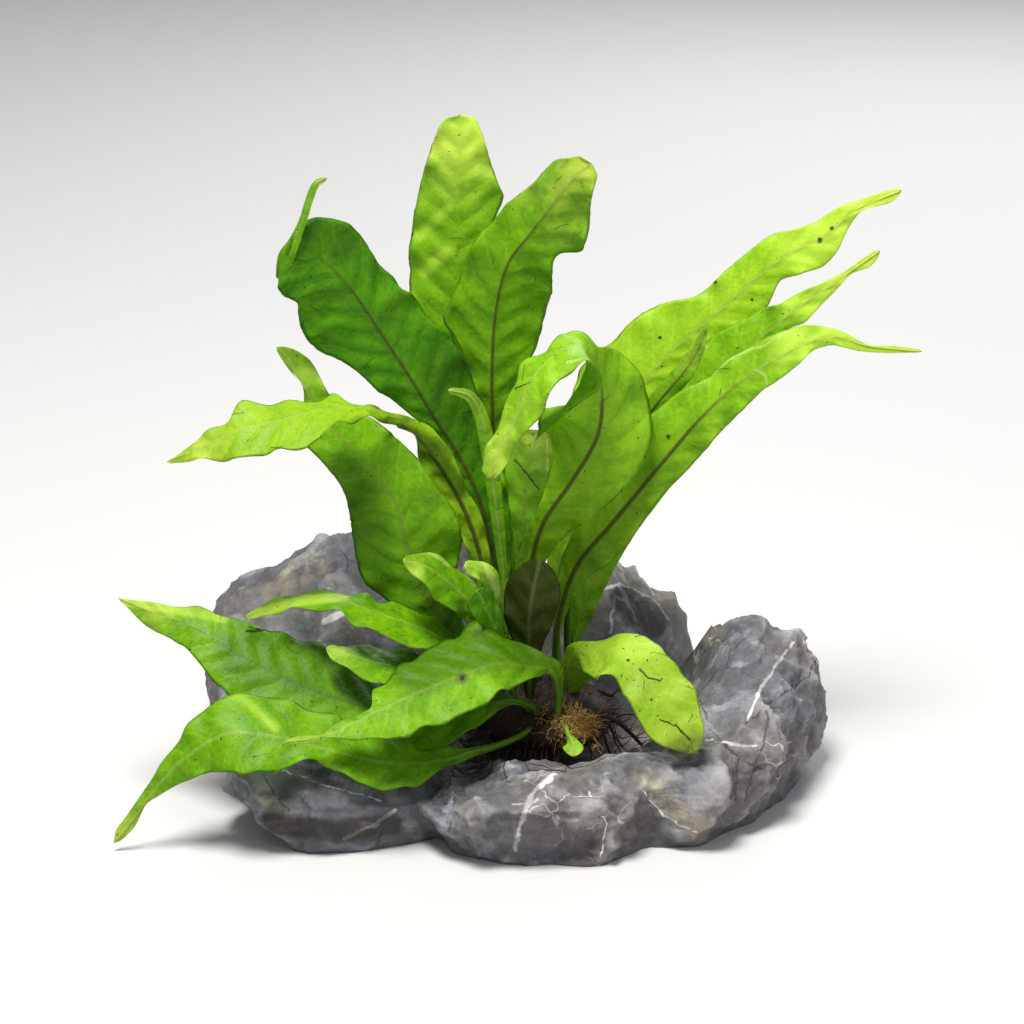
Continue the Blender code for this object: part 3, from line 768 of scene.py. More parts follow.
@dataclass(frozen=True)
class Leaf:
    """One leaf with its stalk.

    Each station is how far across, how high and how deep the midrib is, half the blade's width,
    and how many degrees its right-hand edge swings towards the front. The edges and the side that
    shows are given by how far along the leaf they hold, from 0 at the stalk to 1 at the tip.
    """

    node: str
    slot: Slot
    finish: LeafFinish
    cup: float
    stations: tuple
    left: tuple = ()
    right: tuple = ()
    under: tuple = ((0.0, 0.0),)
    shades: tuple = ()
    marks: tuple = ()
    ruffle: float = 0.8
    ruffle_length: float = 11.0
    seated: bool = True
    row_length: float = 0.8
    columns: int = 28
    blade_thickness: float = 0.42
    stalk_radius: float = 0.8
    tip_radius: float = 0.28
    sunk: float = 1.4

    def seat(self, base: Vector, second: Vector, rhizome: BVHTree) -> Vector:
        """Where the stalk goes into the rhizome.

        Args:
            base: The first station's point, in mm.
            second: The second's.
            rhizome: The rhizome's search tree.

        Returns:
            The stalk's lower end, in mm.
        """
        line = (base - second).normalized()
        hit, _, _, _ = rhizome.ray_cast(second * MM, line)
        if hit is None:
            hit, _, _, _ = rhizome.find_nearest(base * MM)
        return hit / MM + line * self.sunk

    def path(self, rhizome: BVHTree) -> np.ndarray:
        """The midrib, finely divided.

        Args:
            rhizome: The rhizome's search tree.

        Returns:
            Rows of x, y, z, half width and turn.
        """
        stations = [(*place(*station[:3]), station[3], station[4]) for station in self.stations]
        if self.seated:
            seat = self.seat(Vector(stations[0][:3]), Vector(stations[1][:3]), rhizome)
            stations[0] = (*seat, *stations[0][3:])
        steps = np.linalg.norm(np.diff(np.array(stations)[:, :3], axis=0), axis=1)
        return smooth_path(stations, max(24, round(steps.sum() / self.row_length)) + 1)

    def edge(self, line: tuple, centre: np.ndarray, sideways: np.ndarray, half: np.ndarray) -> np.ndarray:
        """How far one margin lies from the midrib, so that the eye sees it on a given line.

        Args:
            line: Where the eye sees the margin; an empty line leaves the stations' widths.
            centre: The midrib's points.
            sideways: The direction towards the margin at each of them.
            half: Half width at each of them.

        Returns:
            A distance for each row.
        """
        if not line:
            return half
        start = view_of(centre)
        step = view_of(centre + sideways) - start
        ratio = np.full(len(half), np.nan)
        for first, last in zip(np.array(line, dtype=float), np.array(line[1:], dtype=float)):
            along = last - first
            offset = first - start
            cross = step[:, 0] * along[1] - step[:, 1] * along[0]
            cross = np.where(np.abs(cross) < 1e-6, 1e-6, cross)
            reach = (offset[:, 0] * along[1] - offset[:, 1] * along[0]) / cross
            share = (offset[:, 0] * step[:, 1] - offset[:, 1] * step[:, 0]) / cross
            met = (share >= 0.0) & (share <= 1.0) & (reach > 0.0) & (reach < 2.6 * half + 5.0)
            ratio = np.fmin(ratio, np.where(met, reach / half, np.nan))
        known = np.flatnonzero(~np.isnan(ratio))
        if not len(known):
            return half
        rows = np.arange(len(half))
        near = known[np.abs(rows[:, None] - known[None, :]).argmin(axis=1)]
        fade = np.exp(-np.abs(rows - near) * self.row_length / 5.0)
        ratio = 1.0 + (ratio[near] - 1.0) * fade
        padded = np.pad(ratio * half, 2, mode="edge")
        return np.convolve(padded, (0.12, 0.22, 0.32, 0.22, 0.12), mode="valid")

    def half_widths(self, along: np.ndarray, edges: tuple, across: np.ndarray) -> np.ndarray:
        """How far each column lies from the midrib.

        Args:
            along: Distance from the stalk's end at each row, in mm.
            edges: How far the left and the right margin lie from the midrib at each row.
            across: Each column's share of the width, -1 to 1.

        Returns:
            Rows by columns of distances, in mm.
        """
        seed = float(sum(map(ord, self.node)) % 97)
        sides = []
        for number, width in enumerate(edges):
            line = np.column_stack([along, np.full_like(along, seed), np.full_like(along, 9.0 * number)])
            uneven = 0.018 * roughness(line, 3.2) + 0.016 * roughness(line, 1.2)
            sides.append(np.maximum(width * (1.0 + ease(width, 1.2, 3.0) * uneven), 0.25))
        left = along[-1] - along
        round_off = np.sqrt(np.clip(left / 0.9, 0.02, 1.0))
        reach = np.where(across[None, :] >= 0.0, sides[1][:, None], sides[0][:, None])
        return across[None, :] * reach * round_off[:, None]

    def tones(self, points: np.ndarray) -> np.ndarray:
        """How much painted shade, paleness with painted light, and brown each point has, as the eye sees the leaf.

        Args:
            points: Rows by columns of x, y, z.

        Returns:
            Rows by columns of three numbers.
        """
        seen = view_of(points)
        tones = np.zeros((*points.shape[:2], 3))
        for shade in self.shades:
            gap = np.full(points.shape[:2], np.inf)
            spots = np.array(shade.points, dtype=float)
            for first, last in zip(spots, spots[1:] if len(spots) > 1 else spots):
                along = last - first
                share = np.clip(((seen - first) @ along) / max(along @ along, 1e-6), 0.0, 1.0)
                gap = np.minimum(gap, np.linalg.norm(seen - first - share[..., None] * along, axis=-1))
            mask = shade.strength * (1.0 - ease(gap, 0.45 * shade.wide, 1.25 * shade.wide))
            channel = shade.tone.value
            tones[..., channel] = np.maximum(tones[..., channel], mask)
        return tones

    def surface(self, rhizome: BVHTree) -> tuple:
        """The blade as a flattened tube round its midrib.

        Args:
            rhizome: The rhizome's search tree.

        Returns:
            Grids of points, looks and flat coordinates.
        """
        path = self.path(rhizome)
        centre, half, turn = path[:, :3], np.maximum(path[:, 3], 0.3), np.radians(path[:, 4])[:, None]
        tangent = unit(np.gradient(centre, axis=0))
        right = unit(np.cross(tangent, unit(np.array(eye_point()) - centre)))
        front = unit(np.cross(right, tangent))
        sideways = right * np.cos(turn) + front * np.sin(turn)
        outward = unit(np.cross(sideways, tangent))
        along = np.concatenate([[0.0], np.cumsum(np.linalg.norm(np.diff(centre, axis=0), axis=1))])
        share = along / along[-1]
        even = np.linspace(1.0, -1.0, self.columns + 1)
        column = np.sign(even) * np.abs(even) ** 1.3
        column = np.concatenate([column, column[-2::-1]])
        face = np.concatenate([np.ones(self.columns + 1), -np.ones(self.columns)])
        lines = zip((self.left, self.right), (-sideways, sideways))
        edges = tuple(self.edge(line, centre, direction, half) for line, direction in lines)
        reach = self.half_widths(along, edges, column)
        margin = np.abs(column)[None, :] * np.ones_like(reach)
        seed = float(sum(map(ord, self.node)) % 61)
        blade = ease(half, 1.2, 3.4)[:, None]
        phase = 2.0 * math.pi * along[:, None] / self.ruffle_length + seed + 2.3 * (column[None, :] > 0)
        swell = 1.0 + 0.5 * np.sin(0.37 * phase + seed)
        lift = -np.abs(reach) * self.cup
        lift = lift + blade * self.ruffle * swell * margin ** 2.4 * np.sin(phase + 0.6 * np.sin(0.61 * phase))
        slant = (along[:, None] - 0.85 * np.abs(reach)) / 6.4
        lift = lift + blade * 0.22 * np.sin(2.0 * math.pi * slant + seed) * np.sin(math.pi * np.clip(margin * 1.1, 0, 1))
        under = np.interp(share, *np.array(self.under, dtype=float).T)[:, None]
        underside = np.where(face[None, :] > 0, under, 1.0 - under)
        rib = (self.stalk_radius + (self.tip_radius - self.stalk_radius) * share ** 0.7)[:, None]
        ridge = rib * np.sqrt(np.clip(1.0 - (reach / rib) ** 2, 0.0, 1.0))
        stand = 1.0 + (0.22 + 0.55 * underside - 1.0) * blade
        skin = 0.5 * self.blade_thickness * (1.0 - margin ** 8) * (0.35 + 0.65 * blade)
        offset = face[None, :] * np.maximum(skin, ridge * stand)
        points = (centre[:, None, :] + sideways[:, None, :] * reach[..., None]
                  + outward[:, None, :] * (lift + offset)[..., None])
        looks = np.stack([margin, share[:, None] * np.ones_like(reach), underside * np.ones_like(reach)], axis=-1)
        flat = np.stack([reach / 10.0, along[:, None] / 10.0 * np.ones_like(reach)], axis=-1)
        return points, looks, flat, self.tones(points)

    def build(self, rhizome: BVHTree) -> bpy.types.Object:
        """Models the leaf.

        Args:
            rhizome: The rhizome's search tree.

        Returns:
            The piece.
        """
        points, looks, flat, tones = self.surface(rhizome)
        mesh = grid_mesh(f"{self.node}_blade", points, {"looks": looks, "tones": tones}, flat)
        nodes = (self.node,) if self.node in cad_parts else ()
        return add_piece(f"{self.node}_blade", mesh, self.slot, *nodes)

    def dress(self, piece: bpy.types.Object, surface: bpy.types.NodeTree, number: int) -> None:
        """Gives the leaf its material.

        Args:
            piece: The leaf.
            surface: The leaf pattern's group.
            number: The leaf's number, which sets where its pattern starts.
        """
        tree = tree_of(piece)
        marks = [(mark, [seen_on(tree, *point) for point in mark.points]) for mark in self.marks]
        shift = (7.3 * number, 3.1 * number, 0.0)
        piece.data.materials.append(self.finish.make(self.node, surface, shift, marks))


@dataclass(frozen=True)
class Side:
    """The stone in one direction from its middle, in degrees and mm."""

    angle: float
    reach: float
    top: float
    hollow: float


@dataclass(frozen=True)
class Vein:
    """A line on the stone, by the points where the eye sees it, in mm."""

    points: tuple
    wide: float


@dataclass(frozen=True)
class StoneFinish:
    """Grey limestone with white veins, brown cracks and pale stains. Painted shade darkens its hollows and sunk
    chips.
    """

    cool: tuple = (0.150, 0.158, 0.185)
    warm: tuple = (0.200, 0.182, 0.170)
    dark: tuple = (0.045, 0.043, 0.046)
    pale: tuple = (0.400, 0.400, 0.415)
    vein: tuple = (0.780, 0.770, 0.750)
    crack: tuple = (0.085, 0.052, 0.028)
    stain: tuple = (0.420, 0.370, 0.260)
    bump_height: float = 0.0009
    bump_strength: float = 0.65

    def lines(self, graph: NodeGraph, where: bpy.types.NodeSocket, veins: tuple, tree: BVHTree) -> object:
        """The lines of a set of veins, joined into one mask.

        Args:
            graph: The material's nodes.
            where: The place that the eye sees, with a tenth of the depth, in mm.
            veins: The veins.
            tree: The stone's search tree.

        Returns:
            The mask's socket.
        """
        return drawn(graph, where, [([seen_on(tree, *point) for point in vein.points], vein.wide) for vein in veins])

    def make(self, tree: BVHTree, white: tuple, brown: tuple, stains: tuple, painted_shadows: tuple) -> bpy.types.Material:
        """Makes the material.

        Args:
            tree: The stone's search tree.
            white: White veins.
            brown: Brown cracks.
            stains: Pale stains.
            painted_shadows: Painted shadows in the stone's hollows.

        Returns:
            The material.
        """
        material = new_material("stone")
        graph = NodeGraph(material.node_tree)
        place_m = graph.add("ShaderNodeTexCoord").outputs["Object"]
        scaled = graph.vector("SCALE", place_m)
        graph.put(scaled.inputs[3], 1000.0)
        where = scaled.outputs[0]
        looks = graph.add("ShaderNodeAttribute", attribute_name="looks").outputs["Vector"]
        dent, hollow_shade, _ = graph.parts(looks)
        broad = graph.noise(where, 0.045, 3.0, 0.55)
        medium = graph.noise(where, 0.19, 4.0, 0.62)
        fine = graph.noise(where, 0.85, 4.0, 0.65)
        grain = graph.noise(where, 3.6, 3.0, 0.6)
        wander = graph.add("ShaderNodeTexNoise", {"Vector": where, "Scale": 0.33, "Detail": 3.0}).outputs[1]
        pushed = graph.vector("SUBTRACT", wander, (0.5, 0.5, 0.5)).outputs[0]
        swing = graph.vector("SCALE", pushed)
        graph.put(swing.inputs[3], 3.4)
        warped = graph.vector("ADD", where, swing.outputs[0]).outputs[0]
        seen = graph.use(shared("where seen", view_group), where=where).outputs[0]
        shaken = graph.vector("SCALE", pushed)
        graph.put(shaken.inputs[3], 2.2)
        seen = graph.vector("ADD", seen, shaken.outputs[0]).outputs[0]
        colour = graph.mix(graph.span(broad, 0.40, 0.60), (*self.cool, 1.0), (*self.warm, 1.0))
        colour = graph.mix(graph.span(medium, 0.46, 0.74, 0.0, 0.62), colour, (*self.pale, 1.0))
        colour = graph.mix(graph.span(medium, 0.50, 0.30, 0.0, 0.55), colour, (*self.dark, 1.0))
        colour = graph.mix(graph.span(fine, 0.52, 0.72, 0.0, 0.30), colour, (*self.pale, 1.0))
        colour = graph.mix(graph.span(fine, 0.46, 0.30, 0.0, 0.42), colour, (*self.dark, 1.0))
        stain = graph.calc("MULTIPLY", self.lines(graph, seen, stains, tree), graph.span(medium, 0.36, 0.56))
        colour = graph.mix(graph.calc("MULTIPLY", stain, 0.62), colour, (*self.stain, 1.0))
        net = graph.cells(warped, 0.075, "DISTANCE_TO_EDGE").outputs["Distance"]
        hair = graph.calc("MULTIPLY", graph.span(net, 0.016, 0.004), graph.span(broad, 0.56, 0.64))
        colour = graph.mix(graph.calc("MULTIPLY", hair, 0.55), colour, (*self.vein, 1.0))
        seams = graph.cells(warped, 0.052, "DISTANCE_TO_EDGE").outputs["Distance"]
        seam = graph.calc("MULTIPLY", graph.span(seams, 0.014, 0.003), graph.span(broad, 0.44, 0.36))
        split = graph.calc("MAXIMUM", seam, self.lines(graph, seen, brown, tree))
        colour = graph.mix(graph.calc("MULTIPLY", split, 0.78), colour, (*self.crack, 1.0))
        line = graph.calc("MULTIPLY", self.lines(graph, seen, white, tree), graph.span(fine, 0.20, 0.40, 0.35, 1.0))
        colour = graph.mix(graph.calc("MULTIPLY", line, 0.9), colour, (*self.vein, 1.0))
        # Painted shade darkens the sunk chips, and the raised chips are painted paler.
        colour = graph.mix(graph.span(dent, 0.0, -0.9, 0.0, 0.55), colour, (*self.dark, 1.0))
        colour = graph.mix(graph.span(dent, 0.25, 1.1, 0.0, 0.28), colour, (*self.pale, 1.0))
        # Painted shade: dark lines darken the stone's hollows.
        shadow_mask = graph.calc("MULTIPLY", self.lines(graph, seen, painted_shadows, tree), 0.75)
        colour = graph.mix(shadow_mask, colour, (*self.crack, 1.0), "MULTIPLY")
        # Painted shade in the hollow under the plant.
        colour = graph.mix(graph.span(hollow_shade, 0.0, 1.0, 0.0, 0.72), colour, (0.028, 0.024, 0.020, 1.0))
        height = graph.calc("ADD", graph.calc("MULTIPLY", fine, 0.6), graph.calc("MULTIPLY", grain, 0.22))
        height = graph.calc("ADD", height, graph.calc("MULTIPLY", medium, 0.9))
        height = graph.calc("SUBTRACT", height, graph.calc("MULTIPLY", split, 0.55))
        height = graph.calc("ADD", height, graph.calc("MULTIPLY", line, 0.16))
        relief = graph.add("ShaderNodeBump", {
            "Height": height, "Distance": self.bump_height, "Strength": self.bump_strength})
        rock = graph.add("ShaderNodeBsdfPrincipled", {
            "Base Color": colour, "Roughness": graph.span(fine, 0.3, 0.7, 0.50, 0.72), "Normal": relief.outputs[0]})
        rock.inputs["Specular IOR Level"].default_value = 0.4
        graph.add("ShaderNodeOutputMaterial", {0: rock.outputs[0]})
        return material


@dataclass(frozen=True)
class Stone:
    """The craggy limestone with a hollow in its middle, cut flat where it stands."""

    sides: tuple
    white: tuple
    brown: tuple
    stains: tuple
    painted_shadows: tuple
    middle: tuple = (8.0, -8.0)
    floor: float = 8.0
    lump: float = 1.0
    lump_span: float = 15.0
    faces: tuple = ((22.0, 5.0), (10.0, 2.2))
    chips: tuple = ((12.0, 1.7), (5.5, 1.1), (2.5, 0.5))
    face_turn: tuple = (0.61, 0.35, 1.07)
    face_start: tuple = (3.0, 17.0, 9.0)
    directions: int = 560
    rings: int = 170

    def profile(self, reach: np.ndarray, top: np.ndarray, hollow: np.ndarray) -> np.ndarray:
        """The stone from the middle of its hollow to its base's edge.

        Args:
            reach: How far the stone reaches, in each direction.
            top: How high its rim is.
            hollow: How far its hollow reaches.

        Returns:
            For each direction and ring, the radius, height, lean and share of roughness.
        """
        shoulder = np.maximum(hollow + 4.0, 0.91 * reach)
        rim = 0.5 * (hollow + shoulder)
        wall = top - self.floor
        radius = (0.02 * hollow, 0.28 * hollow, 0.55 * hollow, 0.76 * hollow, 0.90 * hollow, hollow,
                  0.5 * (hollow + rim), rim, 0.5 * (rim + shoulder), shoulder, 0.985 * reach, reach,
                  0.99 * reach, 0.97 * reach, 0.95 * reach, 0.93 * reach)
        up = (0.0, 0.0, 0.03, 0.22, 0.60, 0.88)
        down = (0.98, 1.0, 0.99, 0.94, 0.82, 0.68, 0.45, 0.24, 0.09, 0.0)
        height = [self.floor + share * wall for share in up] + [share * top for share in down]
        knots = np.stack([np.stack(radius, axis=-1), np.stack(height, axis=-1)], axis=-1)
        along = np.concatenate([[0.0], np.cumsum(np.linalg.norm(np.diff(knots, axis=1), axis=-1).mean(axis=0))])
        wanted = np.linspace(0.0, along[-1], self.rings)
        lean = [0.25] * 5 + [0.4] * 5 + [0.9] * 6
        share = [0.35] * 3 + [0.6] * 2 + [1.0] * 11
        return np.array([[np.interp(wanted, along, line) for line in (*side.T, lean, share)] for side in knots])

    def broken(self, points: np.ndarray) -> np.ndarray:
        """How far the stone's broad broken faces, which meet in straight ridges, raise each point.

        Args:
            points: Rows of x, y, z.

        Returns:
            A distance for each row.
        """
        raised = np.zeros(len(points))
        turned = points @ np.array(Euler(self.face_turn).to_matrix()).T
        rows = np.arange(len(points))
        for number, (span, depth) in enumerate(self.faces):
            spot = turned / span + number * np.array(self.face_start)
            corner = np.floor(spot) + 0.5
            rest = np.column_stack([spot - corner + 0.5, np.zeros(len(points))])
            order = np.argsort(-rest[:, :3], axis=1)
            order = np.column_stack([order, np.full(len(points), 3)])
            left = np.ones(len(points))
            for turn in range(4):
                share = rest[rows, order[:, turn]]
                raised += depth * (left - share) * np.array([noise.cell(Vector(row)) for row in corner])
                left = share
                if turn < 3:
                    corner[rows, order[:, turn]] += 1.0
        return raised

    def chipped(self, points: np.ndarray, span: float, depth: float) -> np.ndarray:
        """How far flat chips with sharp edges between them raise each point.

        Args:
            points: Rows of x, y, z.
            span: How wide the chips are.
            depth: How deep they are.

        Returns:
            A distance for each row.
        """
        raised = []
        for row in points / span:
            spot = Vector(row)
            squares, middles = noise.voronoi(spot, distance_metric="DISTANCE_SQUARED")
            flat = [
                2.0 * square - 0.75 + 0.9 * (spot - middle).dot(noise.cell_vector(9.0 * middle))
                for square, middle in zip(squares[:3], middles[:3])]
            raised.append(depth * min(flat))
        return np.clip(np.array(raised), -depth, depth)

    def surface(self) -> tuple:
        """The stone's surface as a grid round the middle of its hollow.

        Returns:
            Grids of points and looks: how far each point is raised, and how much painted shade it takes in the
                hollow under the plant.
        """
        angles = np.linspace(0.0, 360.0, self.directions + 1)
        stated = [side.angle for side in self.sides]
        spread = [np.interp(angles, stated, [getattr(side, name) for side in self.sides], period=360.0)
                  for name in ("reach", "top", "hollow")]
        radius, height, lean, share = self.profile(*spread).transpose(1, 0, 2)
        turn = np.radians(angles)[:, None]
        outward = np.stack([np.cos(turn), np.sin(turn), np.zeros_like(turn)], axis=-1)
        points = outward * radius[..., None] + np.array([*self.middle, 0.0])
        points[..., 2] += height
        push = unit(outward * lean[..., None] + np.array([0.0, 0.0, 1.0]) * (1.0 - lean[..., None]))
        rows = points.reshape(-1, 3)
        coarse = self.lump * roughness(rows, self.lump_span) + self.broken(rows)
        fine = sum(self.chipped(rows, *size) for size in self.chips)
        fine += 0.16 * roughness(rows, 1.3, (3.0, 1.0, 8.0))
        low = ease(rows[:, 2], 0.0, 3.0)
        moved = rows + push.reshape(-1, 3) * ((coarse + fine * low) * share.reshape(-1))[:, None]
        moved = moved.reshape(points.shape)
        moved[:, -1, 2] = 0.0
        moved[..., 2] = np.maximum(moved[..., 2], 0.0)
        moved[-1] = moved[0]
        moved[:, 0] = moved[:, 0].mean(axis=0)
        raised = fine.reshape(points.shape[:2])
        # Painted shade: the hollow round the rhizome is darkened low down, under the plant.
        from_middle = np.hypot(points[..., 0] - 8.0, points[..., 1] + 9.0)
        hollow_shade = (1.0 - ease(from_middle, 17.0, 29.0)) * (1.0 - ease(points[..., 2], 11.0, 19.0))
        looks = np.stack([raised, hollow_shade, np.zeros_like(raised)], axis=-1)
        looks[-1] = looks[0]
        return moved, looks

    def build(self) -> bpy.types.Object:
        """Models the stone.

        Returns:
            The piece.
        """
        points, looks = self.surface()
        points = points.transpose(1, 0, 2)
        looks = looks.transpose(1, 0, 2)
        return add_piece("stone_rock", grid_mesh("stone_rock", points, {"looks": looks}), Slot.STONE, "stone")

    def dress(self, piece: bpy.types.Object, finish: StoneFinish) -> None:
        """Gives the stone its material.

        Args:
            piece: The stone.
            finish: Its finish.
        """
        piece.data.materials.append(finish.make(tree_of(piece), self.white, self.brown, self.stains, self.painted_shadows))


def tube(path: np.ndarray, radii: np.ndarray, sides: int) -> np.ndarray:
    """A grid of points round a path.

    Args:
        path: Rows of x, y, z.
        radii: The radius at each row.
        sides: How many sides the tube has.

    Returns:
        Rows by columns of points, the last column on the first.
    """
    tangent = unit(np.gradient(path, axis=0))
    side = unit(np.cross(tangent, np.array([0.31, 0.17, 0.93])))
    other = np.cross(tangent, side)
    turn = np.linspace(0.0, 2.0 * math.pi, sides + 1)[None, :, None]
    return (path[:, None, :] + radii[:, None, None] * (
        side[:, None, :] * np.cos(turn) + other[:, None, :] * np.sin(turn)))


def join_meshes(name: str, meshes: list) -> bpy.types.Mesh:
    """Joins meshes into one.

    Args:
        name: The joined mesh's name.
        meshes: The meshes, which are removed.

    Returns:
        The joined mesh.
    """
    bm = bmesh.new()
    for mesh in meshes:
        bm.from_mesh(mesh)
        bpy.data.meshes.remove(mesh)
    joined = bpy.data.meshes.new(name)
    bm.to_mesh(joined)
    bm.free()
    joined.shade_smooth()
    return joined


@dataclass(frozen=True)
class FibreFinish:
    """Root and rhizome tissue: dark, rough, and browner in places."""

    name: str
    dark: tuple
    brown: tuple
    rough: float = 0.75

    def make(self) -> bpy.types.Material:
        """Makes the material.

        Returns:
            The material.
        """
        material = new_material(self.name)
        graph = NodeGraph(material.node_tree)
        scaled = graph.vector("SCALE", graph.add("ShaderNodeTexCoord").outputs["Object"])
        graph.put(scaled.inputs[3], 1000.0)
        broad = graph.noise(scaled.outputs[0], 0.16, 3.0, 0.6)
        fine = graph.noise(scaled.outputs[0], 1.9, 3.0, 0.6)
        tone = graph.calc("ADD", graph.calc("MULTIPLY", broad, 0.65), graph.calc("MULTIPLY", fine, 0.35))
        colour = graph.mix(graph.span(tone, 0.42, 0.62), (*self.dark, 1.0), (*self.brown, 1.0))
        relief = graph.add("ShaderNodeBump", {"Height": fine, "Distance": 0.0005, "Strength": 0.7})
        skin = graph.add("ShaderNodeBsdfPrincipled", {"Base Color": colour, "Normal": relief.outputs[0]})
        skin.inputs["Roughness"].default_value = self.rough
        skin.inputs["Specular IOR Level"].default_value = 0.25
        graph.add("ShaderNodeOutputMaterial", {0: skin.outputs[0]})
        return material


@dataclass(frozen=True)
class Rhizome:
    """The creeping stem, with the thick roots that come out of it."""

    roots: tuple
    middle: tuple = (8.0, -10.0, 18.4)
    reach: tuple = (17.5, 16.5, 8.0)
    lump: float = 1.5
    lump_span: float = 6.0
    lump_start: tuple = (2.0, 9.0, 4.0)
    scale: float = 0.55
    scale_span: float = 1.7
    root_radius: float = 0.9

    def build(self) -> bpy.types.Object:
        """Models the rhizome.

        Returns:
            The piece.
        """
        bm = bmesh.new()
        bmesh.ops.create_icosphere(bm, subdivisions=6, radius=1.0)
        body = bpy.data.meshes.new("rhizome_body")
        bm.to_mesh(body)
        bm.free()
        outward = np.empty(len(body.vertices) * 3)
        body.vertices.foreach_get("co", outward)
        outward = unit(outward.reshape(-1, 3))
        points = np.array(self.middle) + outward * np.array(self.reach)
        lump = self.lump * roughness(points, self.lump_span, self.lump_start)
        lump += self.scale * np.abs(roughness(points, self.scale_span, (5.0, 2.0, 7.0))) - 0.25
        body.vertices.foreach_set("co", ((points + outward * lump[:, None]) * MM).ravel())
        meshes = [body]
        for number, root in enumerate(self.roots):
            path = smooth_path(root, 60)[:, :3]
            share = np.linspace(0.0, 1.0, len(path))
            radii = self.root_radius * (1.0 - 0.55 * share) * (1.0 + 0.16 * roughness(path, 1.3))
            radii[-1] = 0.1
            meshes.append(grid_mesh(f"root_{number}", tube(path, radii, 10)))
        return add_piece("rhizome_stem", join_meshes("rhizome_stem", meshes), Slot.RHIZOME, "rhizome")

    def dress(self, piece: bpy.types.Object, finish: FibreFinish) -> None:
        """Gives the rhizome its material.

        Args:
            piece: The rhizome.
            finish: Its finish.
        """
        piece.data.materials.append(finish.make())


@dataclass(frozen=True)
class Roots:
    """Fine roots that run from the rhizome over the stone's hollow."""

    count: int = 46
    radius: float = 0.26
    length: tuple = (12.0, 30.0)
    steps: int = 34
    seed: int = 5

    def path(self, draw: random.Random, rhizome: Rhizome, body: BVHTree, stone: BVHTree) -> np.ndarray:
        """The path of one root.

        Args:
            draw: The source of chance.
            rhizome: The rhizome.
            body: Its search tree.
            stone: The stone's search tree.

        Returns:
            Rows of x, y, z, in mm.
        """
        heading = draw.uniform(0.0, 2.0 * math.pi)
        start = Vector(rhizome.middle) + Vector((
            math.cos(heading) * rhizome.reach[0] * 0.86, math.sin(heading) * rhizome.reach[1] * 0.86,
            draw.uniform(-1.0, 4.0)))
        hit, _, _, _ = body.find_nearest(start * MM)
        point = hit / MM
        step = draw.uniform(*self.length) / self.steps
        rows = [point.copy()]
        for _ in range(self.steps):
            heading += draw.gauss(0.0, 0.20)
            point = point + Vector((math.cos(heading), math.sin(heading), 0.0)) * step
            ground, _, _, _ = stone.ray_cast(Vector((point.x, point.y, 60.0)) * MM, Vector((0, 0, -1)))
            floor = ground.z / MM + 0.12 if ground else point.z
            point.z = max(floor, point.z - 0.45 * step - 0.25 * (point.z - floor))
            rows.append(point.copy())
        return smooth_path(rows, 2 * self.steps)

    def build(self, rhizome: Rhizome, body: BVHTree, stone: BVHTree) -> bpy.types.Object:
        """Models the roots.

        Args:
            rhizome: The rhizome.
            body: Its search tree.
            stone: The stone's search tree.

        Returns:
            The piece.
        """
        draw = random.Random(self.seed)
        meshes = []
        for number in range(self.count):
            path = self.path(draw, rhizome, body, stone)
            share = np.linspace(0.0, 1.0, len(path))
            radii = draw.uniform(0.6, 1.15) * self.radius * (1.0 - 0.6 * share)
            meshes.append(grid_mesh(f"fine_root_{number}", tube(path, radii, 6)))
        return add_piece("fine_roots", join_meshes("fine_roots", meshes), Slot.RHIZOME)

    def dress(self, piece: bpy.types.Object, finish: FibreFinish) -> None:
        """Gives the roots their material.

        Args:
            piece: The roots.
            finish: Their finish.
        """
        piece.data.materials.append(finish.make())


@dataclass(frozen=True)
class Fur:
    """Short root hairs that stand on a stretch of the rhizome."""

    name: str
    count: int
    length: tuple
    radius: float
    within: tuple
    seed: int
    steps: int = 7
    sides: int = 4

    def build(self, rhizome: Rhizome, body: BVHTree) -> bpy.types.Object:
        """Models the hairs.

        Args:
            rhizome: The rhizome; not used.
            body: Its search tree.

        Returns:
            The piece.
        """
        draw = random.Random(self.seed)
        centre, spread = Vector(self.within[0]), self.within[1]
        grids = []
        while len(grids) < self.count:
            spot = centre + Vector([draw.gauss(0.0, 0.5) * size for size in spread])
            hit, normal, _, _ = body.find_nearest(spot * MM)
            if normal.z < -0.2:
                continue
            lean = (normal + Vector([draw.gauss(0.0, 0.6) for _ in range(3)]) + Vector((0, 0, -0.35))).normalized()
            curl = Vector([draw.gauss(0.0, 0.5) for _ in range(3)])
            length = draw.uniform(*self.length)
            shares = np.linspace(0.0, 1.0, self.steps)
            rows = [hit / MM - normal * 0.25 + (lean + curl * share * 0.9) * length * share for share in shares]
            grids.append(tube(np.array(rows), self.radius * (1.0 - 0.7 * shares), self.sides))
        meshes = [grid_mesh(f"{self.name}_{number}", grid) for number, grid in enumerate(grids)]
        return add_piece(self.name, join_meshes(self.name, meshes), Slot.RHIZOME)

    def dress(self, piece: bpy.types.Object, finish: FibreFinish) -> None:
        """Gives the hairs their material.

        Args:
            piece: The hairs.
            finish: Their finish.
        """
        piece.data.materials.append(finish.make())


@dataclass(frozen=True)
class Lamp:
    """One soft area light, aimed at the object."""

    name: str
    place_m: tuple
    side_m: float
    power: float
    colour: tuple = (1.0, 1.0, 1.0)


